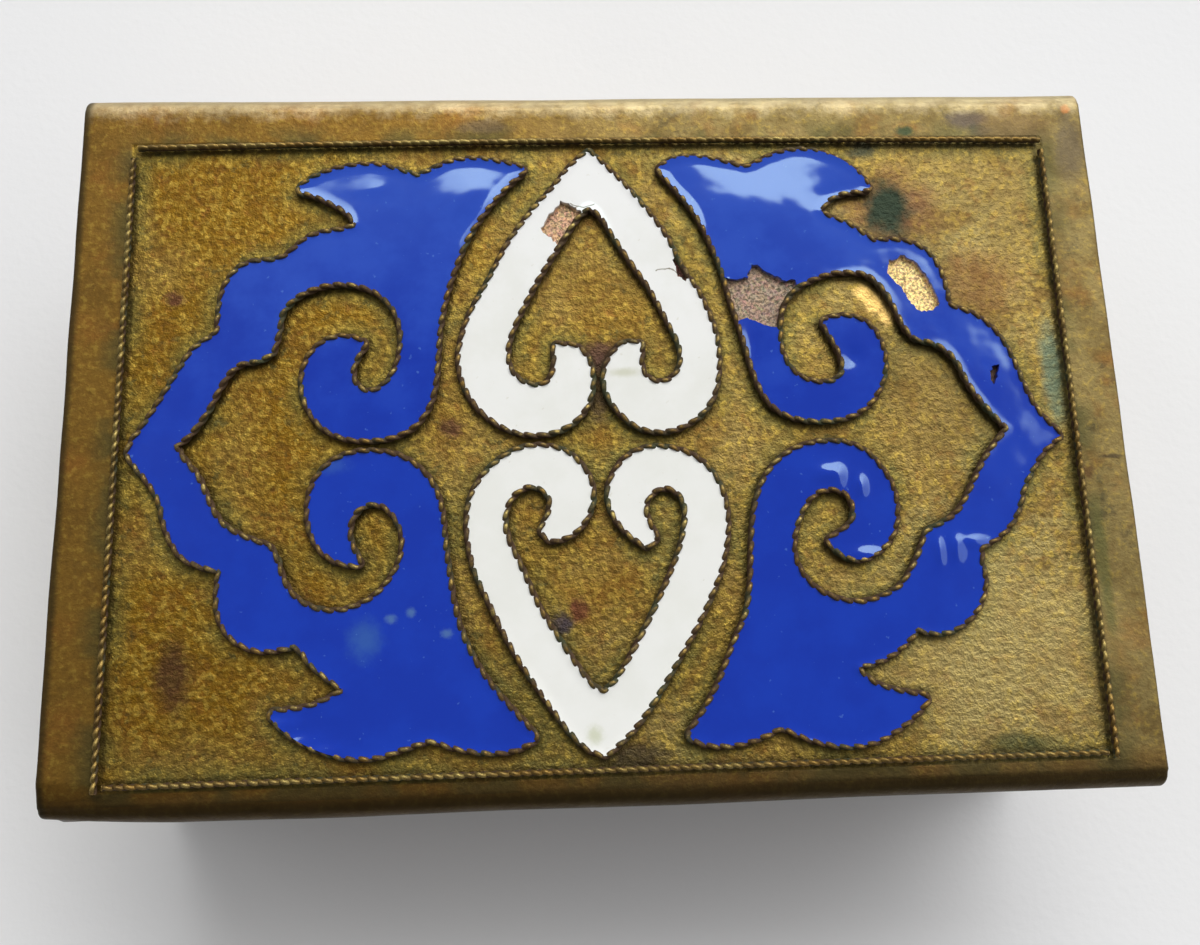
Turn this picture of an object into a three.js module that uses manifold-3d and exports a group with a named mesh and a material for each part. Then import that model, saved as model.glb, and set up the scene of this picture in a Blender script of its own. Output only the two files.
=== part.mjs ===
// Enamelled brass matchbox holder with a full matchbox in it.
//
// A sleeve of sheet brass, open at both ends and along one long side, slides over a matchbox.
// Its face carries a frame of four straight twisted wires and four closed cells of the same
// wire, filled with enamel: two blue scroll motifs and two white hearts.
// Inside are the matchbox's card sleeve, its striker strips, its tray and its matches.
//
// Millimetres. +X runs along the holder, +Y points to its closed spine, +Z to the enamelled face.
// The origin is under the middle of the holder, on the surface it lies on.

import * as THREE from 'three';
import * as BufferGeometryUtils from 'three/addons/utils/BufferGeometryUtils.js';
import Module from 'manifold-3d';

// ---------------------------------------------------------------- driving dimensions

// Brass case
const CASE_LENGTH = 56.4;
const CASE_WIDTH = 39.1;
const CASE_HEIGHT = 18.6;
const SHEET = 0.6;
const BEND_RADIUS = 1.0;
const LIP_HEIGHT = 3.2;

// Twisted wire on the face
const WIRE = 0.5;
const CELL_WIRE = 0.42;
const WIRE_SIDES = 8;
const SOLDER_GAP = 0.02;
const FRAME_CENTRE = [0.2, -0.54];
const FRAME_LEFT = -25.42;
const FRAME_RIGHT = 25.18;
const FRAME_SPINE_SIDE = 16.65;
const FRAME_OPEN_SIDE = -17.06;
const FRAME_BOW = 0.2;
const CELLS_CENTRE = [0.18, -0.64];
const CELLS_SCALE = 0.992;

// Enamel in the cells
const ENAMEL_DEPTH = 0.36;
const ENAMEL_GAP = 0.03;
const MITRE_LIMIT = 1.15;
const OUTLINE_STEPS = 6;
const OUTLINE_TOLERANCE = 0.018;

// Matchbox
const BOX_CLEARANCE = 0.3;
const BOX_LENGTH = 55.6;
const BOARD = 0.5;
const STRIKER_THICKNESS = 0.2;
const STRIKER_HEIGHT = 12.4;
const LABEL_THICKNESS = 0.1;
const LABEL_MARGIN = 1.2;
const TRAY_CLEARANCE = 0.3;
const GLUE_GAP = 0.02;

// Matches
const MATCH_ROWS = 12;
const MATCH_LAYERS = 3;
const MATCH_PITCH = 2.75;
const MATCH_LENGTH = 47;
const STICK = 2.0;
const HEAD_RADIUS = 1.3;
const HEAD_LENGTH = 3.6;
const HEAD_SIDES = 8;

// Sizes that follow from them
const SLEEVE_WIDTH = CASE_WIDTH - 2 * (SHEET + BOX_CLEARANCE + STRIKER_THICKNESS + GLUE_GAP);
const SLEEVE_HEIGHT = CASE_HEIGHT - 2 * (SHEET + BOX_CLEARANCE);
const TRAY_LENGTH = BOX_LENGTH - 0.6;
const TRAY_WIDTH = SLEEVE_WIDTH - 2 * (BOARD + TRAY_CLEARANCE);
const TRAY_HEIGHT = SLEEVE_HEIGHT - 2 * (BOARD + TRAY_CLEARANCE);
const TRAY_BASE = SHEET + BOX_CLEARANCE + BOARD + TRAY_CLEARANCE;
const FACE_LEVEL = CASE_HEIGHT + SOLDER_GAP;

// ---------------------------------------------------------------- materials

const finish = (color, roughness, metalness) => new THREE.MeshStandardMaterial({ color, roughness, metalness });

const BRASS = finish('#8c6a2c', 0.5, 0.9);
const WIRE_BRASS = finish('#9a7a38', 0.42, 0.9);
const BLUE_ENAMEL = finish('#2142b4', 0.12, 0);
const WHITE_ENAMEL = finish('#e9ebe6', 0.15, 0);
const CARD = finish('#c9b48a', 0.85, 0);
const LABEL_PAPER = finish('#b5472e', 0.7, 0);
const STRIKER = finish('#5a2f27', 0.95, 0);
const MATCH = finish('#d9b684', 0.8, 0);

// ---------------------------------------------------------------- solids

const wasm = await Module();
wasm.setup();

/** A closed three.js geometry as a solid that can be joined or cut. */
function toSolid(geometry) {
  const bare = geometry.clone();
  bare.deleteAttribute('normal');
  bare.deleteAttribute('uv');
  const merged = BufferGeometryUtils.mergeVertices(bare, 1e-4);
  const vertProperties = new Float32Array(merged.attributes.position.array);
  const triVerts = new Uint32Array(merged.index.array);
  return new wasm.Manifold(new wasm.Mesh({ numProp: 3, vertProperties, triVerts }));
}

/** A solid back as a three.js geometry. */
function toGeometry(solid) {
  const mesh = solid.getMesh();
  const geometry = new THREE.BufferGeometry();
  geometry.setAttribute('position', new THREE.BufferAttribute(mesh.vertProperties, 3));
  geometry.setIndex(new THREE.BufferAttribute(mesh.triVerts, 1));
  geometry.computeVertexNormals();
  return geometry;
}

/** A box between two corners. */
function boxBetween(low, high) {
  const size = high.map((value, axis) => value - low[axis]);
  const geometry = new THREE.BoxGeometry(...size);
  geometry.translate(...low.map((value, axis) => value + size[axis] / 2));
  return geometry;
}

/** A (y, z) section pushed along X, centred on the YZ plane. */
function alongLength(section, length) {
  const geometry = new THREE.ExtrudeGeometry(section, { depth: length, bevelEnabled: false, curveSegments: 8 });
  geometry.translate(0, 0, -length / 2);
  geometry.rotateX(Math.PI / 2);
  geometry.rotateZ(Math.PI / 2);
  return geometry;
}

// ---------------------------------------------------------------- outlines of the enamel cells
//
// Seen from above, +X to the right, and drawn larger than life by 1 / CELLS_SCALE. Each cell is a
// closed chain of smooth stretches. A stretch starts at a corner and runs to the next one's start.

const LEFT_SCROLLS = [
  // from the pointed end along the upper arm
  [[-24.75, -0.45], [-24.55, 0.15], [-24.15, 0.75], [-23.4, 2], [-22.85, 3], [-22.25, 4.05], [-21.7, 5], [-21.1, 5.5]],
  [[-20.4, 5.95], [-20.35, 6.9], [-20.3, 8], [-19.95, 9], [-19.4, 9.65], [-18.8, 9.9], [-18, 9.95],
    [-17.2, 10.15], [-16.5, 10.7], [-15.9, 11.25], [-15.1, 11.55], [-14, 11.7]],
  // upper leaf
  [[-13.15, 12], [-13.4, 12.6], [-13.9, 13.15], [-14.7, 13.65], [-15.5, 14.05]],
  [[-16.35, 14.3], [-15.6, 14.85], [-14.6, 15.25], [-13.4, 15.5], [-12.2, 15.5], [-11, 15.15]],
  [[-9.95, 14.8], [-9, 15.3], [-8, 15.7], [-6.7, 15.8], [-5.5, 15.6]],
  // inner side and upper scroll
  [[-4.3, 15.3], [-5.1, 14.6], [-6, 13.6], [-6.8, 12.5], [-7.5, 11.3], [-8.1, 9.8], [-8.6, 8.2], [-8.95, 6.5],
    [-9.1, 4.9], [-9.2, 3.4], [-9.5, 2], [-10.2, 0.95], [-11.2, 0.4], [-12.35, 0.22], [-13.5, 0.3],
    [-14.6, 0.75], [-15.35, 1.55], [-15.8, 2.6], [-15.85, 3.7], [-15.45, 4.75], [-14.7, 5.4], [-13.8, 5.55]],
  [[-12.95, 5.3], [-13.35, 4.65], [-13.6, 3.9], [-13.45, 3.1], [-12.95, 2.6], [-12.25, 2.5], [-11.5, 3],
    [-10.95, 3.9], [-10.7, 5], [-10.7, 6.1], [-11.1, 7.3], [-12, 8.3], [-13.1, 8.8], [-14.3, 8.95],
    [-15.6, 8.7], [-16.7, 8.1], [-17.4, 7.2], [-17.55, 6.2]],
  [[-17.8, 5.05], [-18.4, 4.7], [-19.3, 4.55], [-20, 4], [-20.6, 3], [-21.05, 2], [-21.65, 1.05], [-22.1, 0.5]],
  // lower arm and lower scroll
  [[-22.75, 0], [-22.2, -0.9], [-21.5, -1.75], [-21, -2.8], [-20.5, -3.8], [-19.8, -4.6], [-18.8, -5.15]],
  [[-17.6, -5.6], [-17.25, -6.3], [-16.95, -7.2], [-16.4, -8.1], [-15.5, -8.75], [-14.3, -9.05], [-13.2, -8.9],
    [-12, -8.3], [-11.1, -7.3], [-10.6, -6.2], [-10.55, -5], [-11, -3.95], [-11.7, -3.3], [-12.5, -3.2],
    [-13.2, -3.6], [-13.6, -4.4], [-13.55, -5.4]],
  [[-13.05, -6.4], [-14, -6.15], [-14.8, -5.55], [-15.3, -4.5], [-15.4, -3.3], [-15.05, -2.1], [-14.3, -1.25],
    [-13.3, -0.83], [-12.2, -0.78], [-11.1, -1], [-10.1, -1.6], [-9.3, -2.6], [-8.9, -3.9], [-8.75, -5.4],
    [-8.55, -7], [-8.3, -8.6], [-7.95, -10], [-7.3, -11.5], [-6.4, -12.9], [-5.3, -14.2]],
  // lower leaf
  [[-4.2, -15.4], [-5.2, -15.8], [-6.5, -15.85], [-7.9, -15.6]],
  [[-9.2, -15.2], [-10.5, -15.5], [-12, -15.9], [-13.5, -15.85], [-15, -15.35], [-16.2, -14.65]],
  [[-17, -13.9], [-16, -13.85], [-14.8, -13.6]],
  [[-13.2, -12.8], [-14.2, -12.1], [-15.1, -11.35], [-15.6, -10.7]],
  [[-16, -10.35], [-16.8, -10.45], [-17.6, -10.55], [-18.5, -10.3], [-19.3, -9.7], [-19.75, -8.8], [-19.85, -7.6]],
  [[-19.75, -6.5], [-20.7, -6.25], [-21.7, -5.8], [-22.3, -5], [-22.7, -4], [-23, -2.9], [-23.6, -1.9], [-24.3, -1.05]],
];

const RIGHT_SCROLLS = [
  // from the pointed end along the upper arm
  [[24.3, -0.5], [23.6, 0.25], [23.05, 1.1], [22.7, 2], [22.3, 3.2], [21.95, 4.3], [21.3, 5.4], [20.5, 6.15], [19.7, 6.5]],
  [[18.95, 6.8], [18.85, 7.9], [18.6, 9], [18.1, 9.95], [17.3, 10.45], [16.3, 10.65]],
  [[15.2, 10.6], [14.5, 11.1], [13.7, 11.7], [12.8, 12.1]],
  // upper leaf
  [[12.1, 12.55], [12.75, 13.4], [13.6, 13.85]],
  [[15.1, 14.05], [14.5, 14.85], [13.5, 15.6], [12.4, 16.05], [11.2, 16.15], [10, 15.9], [9.1, 15.45]],
  [[8.3, 15.1], [7.3, 15.4], [6.2, 15.7], [5, 15.8], [4.2, 15.65]],
  // inner side and upper scroll
  [[3.6, 15.25], [4.3, 14.35], [5, 13.45], [5.6, 12.5], [6.1, 11.4], [6.5, 10.3], [6.85, 9.2], [7.1, 8], [7.4, 6.8],
    [7.75, 5.5], [8.05, 4.2], [8.4, 2.9], [8.9, 1.85], [9.6, 1.2], [10.6, 0.85], [11.8, 0.75], [13, 0.95],
    [14, 1.5], [14.75, 2.5], [15.1, 3.8], [14.9, 5], [14.3, 5.9], [13.3, 6.25]],
  [[12.2, 6.1], [12.75, 5], [13.1, 4.1], [13.1, 3.2], [12.5, 2.6], [11.5, 2.5], [10.5, 2.85], [9.8, 3.6], [9.45, 4.7],
    [9.45, 5.9], [9.7, 7.1], [10.4, 8.1], [11.5, 8.75], [12.7, 9.15], [13.8, 9.2], [14.7, 9.05], [15.3, 8.6],
    [15.9, 7.8], [16.35, 6.8], [16.75, 5.8]],
  [[17.2, 5.25], [18.1, 5], [18.9, 4.5], [19.5, 3.7], [19.9, 2.7], [20.4, 1.8], [21.1, 0.85]],
  // lower arm and lower scroll
  [[21.9, -0.1], [21.2, -0.9], [20.5, -1.7], [19.9, -2.7], [19.3, -3.7], [18.6, -4.7], [17.7, -5.3]],
  [[16.85, -5.7], [16.4, -6.7], [15.9, -7.6], [15.2, -8.5], [14.2, -9.05], [13, -9.35], [11.8, -9.2], [10.7, -8.7],
    [9.9, -7.9], [9.45, -6.9], [9.45, -5.7], [9.8, -4.6], [10.4, -3.6], [11.2, -3.05], [12.1, -3], [12.8, -3.4],
    [13.1, -4.2], [12.95, -5], [12.4, -5.5]],
  [[11.6, -5.95], [12.3, -6.55], [13.1, -6.75], [14, -6.35], [14.7, -5.6], [15, -4.5], [14.9, -3.2], [14.4, -2.2],
    [13.7, -1.35], [12.8, -0.9], [11.7, -0.8], [10.5, -0.98], [9.4, -1.55], [8.6, -2.4], [8.05, -3.5], [7.75, -4.7],
    [7.6, -5.9], [7.5, -7.2], [7.35, -8.4], [7.05, -9.7], [6.5, -10.8], [6, -11.9], [5.5, -13], [4.8, -14.2]],
  // lower leaf
  [[3.8, -15.55], [4.6, -15.85], [5.8, -15.9], [7, -15.65]],
  [[8.35, -15.1], [9.4, -15.6], [10.6, -16], [11.8, -16.15], [13.1, -15.95], [14.3, -15.35], [15.1, -14.8]],
  [[15.75, -14.15], [14.4, -13.9], [13, -13.35]],
  [[12.05, -12.3], [12.8, -12.2], [13.8, -11.9], [14.8, -11.3]],
  [[15.7, -10.4], [16.5, -10.65], [17.4, -10.6], [18.3, -10.1], [19, -9.3], [19.35, -8.2], [19.25, -7.2]],
  [[19.35, -6.35], [20.3, -5.85], [21.1, -5.15], [21.65, -4.2], [22, -3.2], [22.7, -2.1], [23.4, -1.2]],
];

const UPPER_HEART = [
  // right side, round its lobe and up to the end of the curl
  [[-0.5, 16.2], [0.3, 15.3], [1.15, 14.4], [2.1, 13.2], [2.95, 12], [3.6, 10.9], [4, 9.9], [4.55, 8.8], [5.1, 7.9],
    [5.5, 6.9], [5.85, 5.8], [6, 4.6], [5.95, 3.4], [5.65, 2.2], [5, 1.25], [4, 0.6], [2.9, 0.35], [1.8, 0.6],
    [0.95, 1.3], [0.35, 2.2], [0.15, 3.2], [0.45, 4.2]],
  [[1.1, 4.95]],
  [[1.9, 4.95], [1.8, 4.1], [1.95, 3.3], [2.5, 2.8], [3.2, 2.7], [3.9, 3.1], [4.3, 3.8], [4.3, 4.9], [3.9, 5.95],
    [3.4, 7], [2.85, 8.2], [2.15, 9.35], [1.4, 10.55], [0.7, 11.75], [0.1, 12.75]],
  // left side, from the inner point back to the outer one
  [[-0.55, 13.25], [-1.2, 12.75], [-1.75, 12], [-2.35, 11.05], [-2.95, 10.1], [-3.5, 9.2], [-4.05, 8.2], [-4.6, 7.1],
    [-5.05, 6.1], [-5.35, 5], [-5.3, 3.9], [-4.8, 3.1], [-4.1, 2.7], [-3.3, 2.65], [-2.75, 3.1], [-2.5, 3.9]],
  [[-2.5, 4.95]],
  [[-1.5, 4.8], [-1, 4.1], [-0.85, 3.1], [-1.05, 2], [-1.6, 1.15], [-2.5, 0.55], [-3.6, 0.33], [-4.8, 0.5],
    [-5.9, 1.1], [-6.8, 2], [-7.4, 3.2], [-7.6, 4.4], [-7.4, 5.6], [-7.05, 6.7], [-6.55, 7.7], [-6, 8.7],
    [-5.45, 9.8], [-4.8, 11], [-4, 12.1], [-3.3, 13.05], [-2.4, 14.05], [-1.7, 15], [-1, 15.75]],
];

const LOWER_HEART = [
  // right side, round its lobe and down to the end of the curl
  [[-0.6, -16.2], [0.1, -15.6], [0.75, -15], [1.6, -13.95], [2.4, -12.75], [3.2, -11.5], [4, -10.25], [4.65, -9.1],
    [5.2, -7.95], [5.6, -6.95], [5.9, -5.7], [6, -4.5], [5.8, -3.2], [5.25, -2.1], [4.4, -1.35], [3.3, -0.95],
    [2.2, -0.9], [1.2, -1.3], [0.5, -2.1], [0.15, -3.1], [0.35, -4.1], [0.95, -5]],
  [[1.9, -5.8]],
  [[2.25, -5.5], [1.85, -4.7], [1.7, -3.9], [2, -3.2], [2.6, -2.75], [3.3, -2.75], [3.95, -3.25], [4.2, -4.1],
    [4.1, -5.1], [3.8, -6.2], [3.3, -7.4], [2.75, -8.5], [2.1, -9.8], [1.4, -11.05], [0.75, -12.1], [0.1, -13]],
  // left side, from the inner point back to the outer one
  [[-0.6, -13.55], [-1.4, -13], [-2, -12.1], [-2.7, -11.1], [-3.3, -10.15], [-3.9, -9.1], [-4.4, -8], [-4.85, -6.9],
    [-5.35, -5.8], [-5.65, -4.7], [-5.5, -3.6], [-5, -2.85], [-4.2, -2.45], [-3.4, -2.65], [-2.9, -3.3], [-2.95, -4.1]],
  [[-3.4, -5]],
  [[-3.1, -5.35], [-2.3, -5.2], [-1.6, -4.65], [-1.1, -3.7], [-1.05, -2.7], [-1.5, -1.75], [-2.3, -1],
    [-3.4, -0.68], [-4.5, -0.78], [-5.5, -1.3], [-6.4, -2.15], [-7, -3.2], [-7.2, -4.5], [-7.1, -5.7], [-6.8, -7],
    [-6.3, -8.1], [-5.7, -9.4], [-5.1, -10.65], [-4.4, -11.85], [-3.6, -13.05], [-2.85, -14.15], [-2.1, -15.15],
    [-1.3, -15.9]],
];

// ---------------------------------------------------------------- outline tools

/** Distance from a point to the segment between two others. */
function distanceToSegment(point, start, end) {
  const along = end.clone().sub(start);
  const share = THREE.MathUtils.clamp(point.clone().sub(start).dot(along) / along.lengthSq(), 0, 1);
  return point.distanceTo(start.clone().addScaledVector(along, share));
}

/** The points of an open run that it needs to stay within a tolerance of itself. */
function thinned(run, tolerance) {
  if (run.length < 3) return run;
  const last = run.length - 1;
  let farthest = 0;
  let reach = 0;
  for (let i = 1; i < last; i += 1) {
    const distance = distanceToSegment(run[i], run[0], run[last]);
    if (distance > reach) {
      reach = distance;
      farthest = i;
    }
  }
  if (reach < tolerance) return [run[0], run[last]];
  const before = thinned(run.slice(0, farthest + 1), tolerance);
  const after = thinned(run.slice(farthest), tolerance);
  return [...before.slice(0, -1), ...after];
}

/** A chain of stretches as one closed anticlockwise outline. */
function closedOutline(stretches) {
  const outline = stretches.flatMap((stretch, i) => {
    const end = stretches[(i + 1) % stretches.length][0];
    const knots = [...stretch, end].map(([x, y]) => new THREE.Vector3(x, y, 0).multiplyScalar(CELLS_SCALE));
    const curve = new THREE.CatmullRomCurve3(knots, false, 'centripetal');
    const run = curve.getPoints((knots.length - 1) * OUTLINE_STEPS).map(({ x, y }) => new THREE.Vector2(x, y));
    return thinned(run, OUTLINE_TOLERANCE).slice(0, -1);
  });
  return THREE.ShapeUtils.isClockWise(outline) ? outline.reverse() : outline;
}

/** An anticlockwise outline pushed outward: blunt at its points, sharp in its notches, and
 *  without the loops that tight hollows would make. */
function widened(outline, distance) {
  const count = outline.length;
  const outward = (start, end) => new THREE.Vector2(end.y - start.y, start.x - end.x).normalize();
  const moved = outline.map((point, i) => {
    const normalIn = outward(outline[(i + count - 1) % count], point);
    const normalOut = outward(point, outline[(i + 1) % count]);
    const middle = normalIn.clone().add(normalOut).normalize();
    const mitre = distance / middle.dot(normalOut);
    const convex = normalIn.cross(normalOut) > 0;
    return point.clone().addScaledVector(middle, convex ? Math.min(mitre, distance * MITRE_LIMIT) : mitre);
  });
  return moved.filter((point) => outline.every((start, i) => {
    const end = outline[(i + 1) % count];
    return distanceToSegment(point, start, end) > distance * 0.985;
  }));
}

// ---------------------------------------------------------------- brass case

/** The C section of the case: face, spine and back in one sheet, with a lip along the open side. */
function caseSection() {
  const half = CASE_WIDTH / 2;
  const inner = BEND_RADIUS - SHEET;
  const section = new THREE.Shape();
  // outside, from the edge of the upper lip over the face, down the spine and back under
  section.moveTo(-half, CASE_HEIGHT - LIP_HEIGHT);
  section.lineTo(-half, CASE_HEIGHT - BEND_RADIUS);
  section.absarc(-half + BEND_RADIUS, CASE_HEIGHT - BEND_RADIUS, BEND_RADIUS, Math.PI, Math.PI / 2, true);
  section.lineTo(half - BEND_RADIUS, CASE_HEIGHT);
  section.absarc(half - BEND_RADIUS, CASE_HEIGHT - BEND_RADIUS, BEND_RADIUS, Math.PI / 2, 0, true);
  section.lineTo(half, BEND_RADIUS);
  section.absarc(half - BEND_RADIUS, BEND_RADIUS, BEND_RADIUS, 0, -Math.PI / 2, true);
  section.lineTo(-half + BEND_RADIUS, 0);
  section.absarc(-half + BEND_RADIUS, BEND_RADIUS, BEND_RADIUS, -Math.PI / 2, -Math.PI, true);
  section.lineTo(-half, LIP_HEIGHT);
  // inside, the same way back
  section.lineTo(-half + SHEET, LIP_HEIGHT);
  section.lineTo(-half + SHEET, BEND_RADIUS);
  section.absarc(-half + BEND_RADIUS, BEND_RADIUS, inner, -Math.PI, -Math.PI / 2, false);
  section.lineTo(half - BEND_RADIUS, SHEET);
  section.absarc(half - BEND_RADIUS, BEND_RADIUS, inner, -Math.PI / 2, 0, false);
  section.lineTo(half - SHEET, CASE_HEIGHT - BEND_RADIUS);
  section.absarc(half - BEND_RADIUS, CASE_HEIGHT - BEND_RADIUS, inner, 0, Math.PI / 2, false);
  section.lineTo(-half + BEND_RADIUS, CASE_HEIGHT - SHEET);
  section.absarc(-half + BEND_RADIUS, CASE_HEIGHT - BEND_RADIUS, inner, Math.PI / 2, Math.PI, false);
  section.lineTo(-half + SHEET, CASE_HEIGHT - LIP_HEIGHT);
  section.closePath();
  return section;
}

// ---------------------------------------------------------------- twisted wire and enamel

/** A round wire along a run of (x, y) points, lying on the face. */
function borderWire(points) {
  const level = FACE_LEVEL + WIRE / 2;
  const knots = points.map(([x, y]) => new THREE.Vector3(x, y, level));
  const ring = new THREE.Shape();
  for (let i = 0; i < WIRE_SIDES; i += 1) {
    const angle = ((i + 0.5) / WIRE_SIDES) * 2 * Math.PI;
    const radius = WIRE / 2 / Math.cos(Math.PI / WIRE_SIDES);
    const corner = [radius * Math.cos(angle), radius * Math.sin(angle)];
    if (i === 0) ring.moveTo(...corner);
    else ring.lineTo(...corner);
  }
  ring.closePath();
  const path = new THREE.CatmullRomCurve3(knots, false, 'centripetal');
  const steps = (points.length - 1) * 2;
  return new THREE.ExtrudeGeometry(ring, { steps, bevelEnabled: false, extrudePath: path });
}

/** The closed wire that walls one cell. */
function cellWire(outline) {
  const ring = new THREE.Shape(widened(outline, ENAMEL_GAP + CELL_WIRE));
  ring.holes.push(new THREE.Path(widened(outline, ENAMEL_GAP)));
  const geometry = new THREE.ExtrudeGeometry(ring, { depth: WIRE, bevelEnabled: false });
  geometry.translate(0, 0, FACE_LEVEL);
  return geometry;
}

/** The enamel that fills one cell. */
function cellEnamel(outline) {
  const geometry = new THREE.ExtrudeGeometry(new THREE.Shape(outline), { depth: ENAMEL_DEPTH, bevelEnabled: false });
  geometry.translate(0, 0, FACE_LEVEL);
  return geometry;
}

// ---------------------------------------------------------------- matchbox

/** A flat-sided card tube along X. */
function matchboxSleeve() {
  const base = SHEET + BOX_CLEARANCE;
  const half = SLEEVE_WIDTH / 2;
  const section = new THREE.Shape();
  section.moveTo(-half, base);
  section.lineTo(half, base);
  section.lineTo(half, base + SLEEVE_HEIGHT);
  section.lineTo(-half, base + SLEEVE_HEIGHT);
  section.closePath();
  const hollow = new THREE.Path();
  hollow.moveTo(-half + BOARD, base + BOARD);
  hollow.lineTo(-half + BOARD, base + SLEEVE_HEIGHT - BOARD);
  hollow.lineTo(half - BOARD, base + SLEEVE_HEIGHT - BOARD);
  hollow.lineTo(half - BOARD, base + BOARD);
  hollow.closePath();
  section.holes.push(hollow);
  return alongLength(section, BOX_LENGTH);
}

/** A striker strip on one long side of the card sleeve: side is -1 or 1. */
function strikerStrip(side) {
  const near = SLEEVE_WIDTH / 2 + GLUE_GAP;
  const far = near + STRIKER_THICKNESS;
  const middle = CASE_HEIGHT / 2;
  const ends = [side * near, side * far].sort((a, b) => a - b);
  const low = [-BOX_LENGTH / 2, ends[0], middle - STRIKER_HEIGHT / 2];
  const high = [BOX_LENGTH / 2, ends[1], middle + STRIKER_HEIGHT / 2];
  return boxBetween(low, high);
}

/** The paper label on top of the card sleeve. */
function boxLabel() {
  const base = SHEET + BOX_CLEARANCE + SLEEVE_HEIGHT + GLUE_GAP;
  const halfLength = BOX_LENGTH / 2 - LABEL_MARGIN;
  const halfWidth = SLEEVE_WIDTH / 2 - LABEL_MARGIN;
  return boxBetween([-halfLength, -halfWidth, base], [halfLength, halfWidth, base + LABEL_THICKNESS]);
}

/** The open tray: a floor and four walls of card. */
function matchboxTray() {
  const halfLength = TRAY_LENGTH / 2;
  const halfWidth = TRAY_WIDTH / 2;
  const body = boxBetween([-halfLength, -halfWidth, TRAY_BASE], [halfLength, halfWidth, TRAY_BASE + TRAY_HEIGHT]);
  const pocket = boxBetween(
    [-halfLength + BOARD, -halfWidth + BOARD, TRAY_BASE + BOARD],
    [halfLength - BOARD, halfWidth - BOARD, TRAY_BASE + TRAY_HEIGHT + BOARD],
  );
  return toGeometry(toSolid(body).subtract(toSolid(pocket)));
}

/** One match along X with its head towards +X, its middle at the origin. */
function matchSolid() {
  const half = MATCH_LENGTH / 2;
  const stick = boxBetween([-half, -STICK / 2, -STICK / 2], [half - HEAD_LENGTH / 2, STICK / 2, STICK / 2]);
  const profile = [[0, 0], [0.72, 0.12], [1, 0.4], [0.9, 0.72], [0.5, 0.95], [0, 1]];
  const points = profile.map(([radius, along]) => new THREE.Vector2(radius * HEAD_RADIUS, along * HEAD_LENGTH));
  const head = new THREE.LatheGeometry(points, HEAD_SIDES);
  head.rotateZ(-Math.PI / 2);
  head.translate(half - HEAD_LENGTH, 0, 0);
  return toGeometry(toSolid(stick).add(toSolid(head)));
}

// ---------------------------------------------------------------- assembly

const holder = new THREE.Group();

/** A named piece in a group. */
function addPiece(group, name, geometry, material) {
  const piece = new THREE.Mesh(geometry, material);
  piece.name = name;
  group.add(piece);
  return piece;
}

/** The four wires of the frame, which meet at its corners without touching. */
function buildFrame() {
  const frame = new THREE.Group();
  frame.position.set(...FRAME_CENTRE, 0);
  const spineSide = [-1, -0.5, 0, 0.5, 1].map((share) => (
    [share * FRAME_RIGHT, FRAME_SPINE_SIDE + FRAME_BOW * (1 - share * share)]
  ));
  const openSide = [[FRAME_LEFT + 0.8 * WIRE, FRAME_OPEN_SIDE], [FRAME_RIGHT - 0.8 * WIRE, FRAME_OPEN_SIDE]];
  const ends = [FRAME_OPEN_SIDE - 0.6 * WIRE, FRAME_SPINE_SIDE - 1.2 * WIRE];
  addPiece(frame, 'border_wire_spine_side', borderWire(spineSide), WIRE_BRASS);
  addPiece(frame, 'border_wire_open_side', borderWire(openSide), WIRE_BRASS);
  addPiece(frame, 'border_wire_left', borderWire(ends.map((y) => [FRAME_LEFT, y])), WIRE_BRASS);
  addPiece(frame, 'border_wire_right', borderWire(ends.map((y) => [FRAME_RIGHT, y])), WIRE_BRASS);
  return frame;
}

/** The four cells: a closed wire and its enamel each. */
function buildCells() {
  const design = new THREE.Group();
  design.position.set(...CELLS_CENTRE, 0);
  const cells = [
    ['left_scrolls', LEFT_SCROLLS, BLUE_ENAMEL],
    ['right_scrolls', RIGHT_SCROLLS, BLUE_ENAMEL],
    ['upper_heart', UPPER_HEART, WHITE_ENAMEL],
    ['lower_heart', LOWER_HEART, WHITE_ENAMEL],
  ];
  for (const [name, stretches, enamel] of cells) {
    const outline = closedOutline(stretches);
    addPiece(design, `cell_wire_${name}`, cellWire(outline), WIRE_BRASS);
    addPiece(design, `enamel_${name}`, cellEnamel(outline), enamel);
  }
  return design;
}

/** The matchbox with its matches lying in layers, heads all one way. */
function buildMatchbox() {
  const matchbox = new THREE.Group();
  addPiece(matchbox, 'matchbox_sleeve', matchboxSleeve(), CARD);
  addPiece(matchbox, 'striker_open_side', strikerStrip(-1), STRIKER);
  addPiece(matchbox, 'striker_spine_side', strikerStrip(1), STRIKER);
  addPiece(matchbox, 'matchbox_label', boxLabel(), LABEL_PAPER);
  addPiece(matchbox, 'matchbox_tray', matchboxTray(), CARD);
  const matchGeometry = matchSolid();
  const firstLevel = TRAY_BASE + BOARD + GLUE_GAP + HEAD_RADIUS;
  for (let i = 0; i < MATCH_ROWS * MATCH_LAYERS; i += 1) {
    const row = i % MATCH_ROWS;
    const layer = Math.floor(i / MATCH_ROWS);
    const name = `match_${String(i + 1).padStart(2, '0')}`;
    const match = addPiece(matchbox, name, matchGeometry, MATCH);
    match.position.set(0, (row - (MATCH_ROWS - 1) / 2) * MATCH_PITCH, firstLevel + layer * MATCH_PITCH);
  }
  return matchbox;
}

addPiece(holder, 'case_shell', alongLength(caseSection(), CASE_LENGTH), BRASS);
holder.add(buildFrame());
holder.add(buildCells());
holder.add(buildMatchbox());

export default holder;
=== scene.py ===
"""Looks of the enamelled brass matchbox holder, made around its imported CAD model.

Lengths are millimetres in the holder's own frame, +X along it, +Y to its closed spine, +Z out of
its enamelled face. MM turns them into Blender's metres where a mesh, lamp or camera is made.
"""

import math

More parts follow.
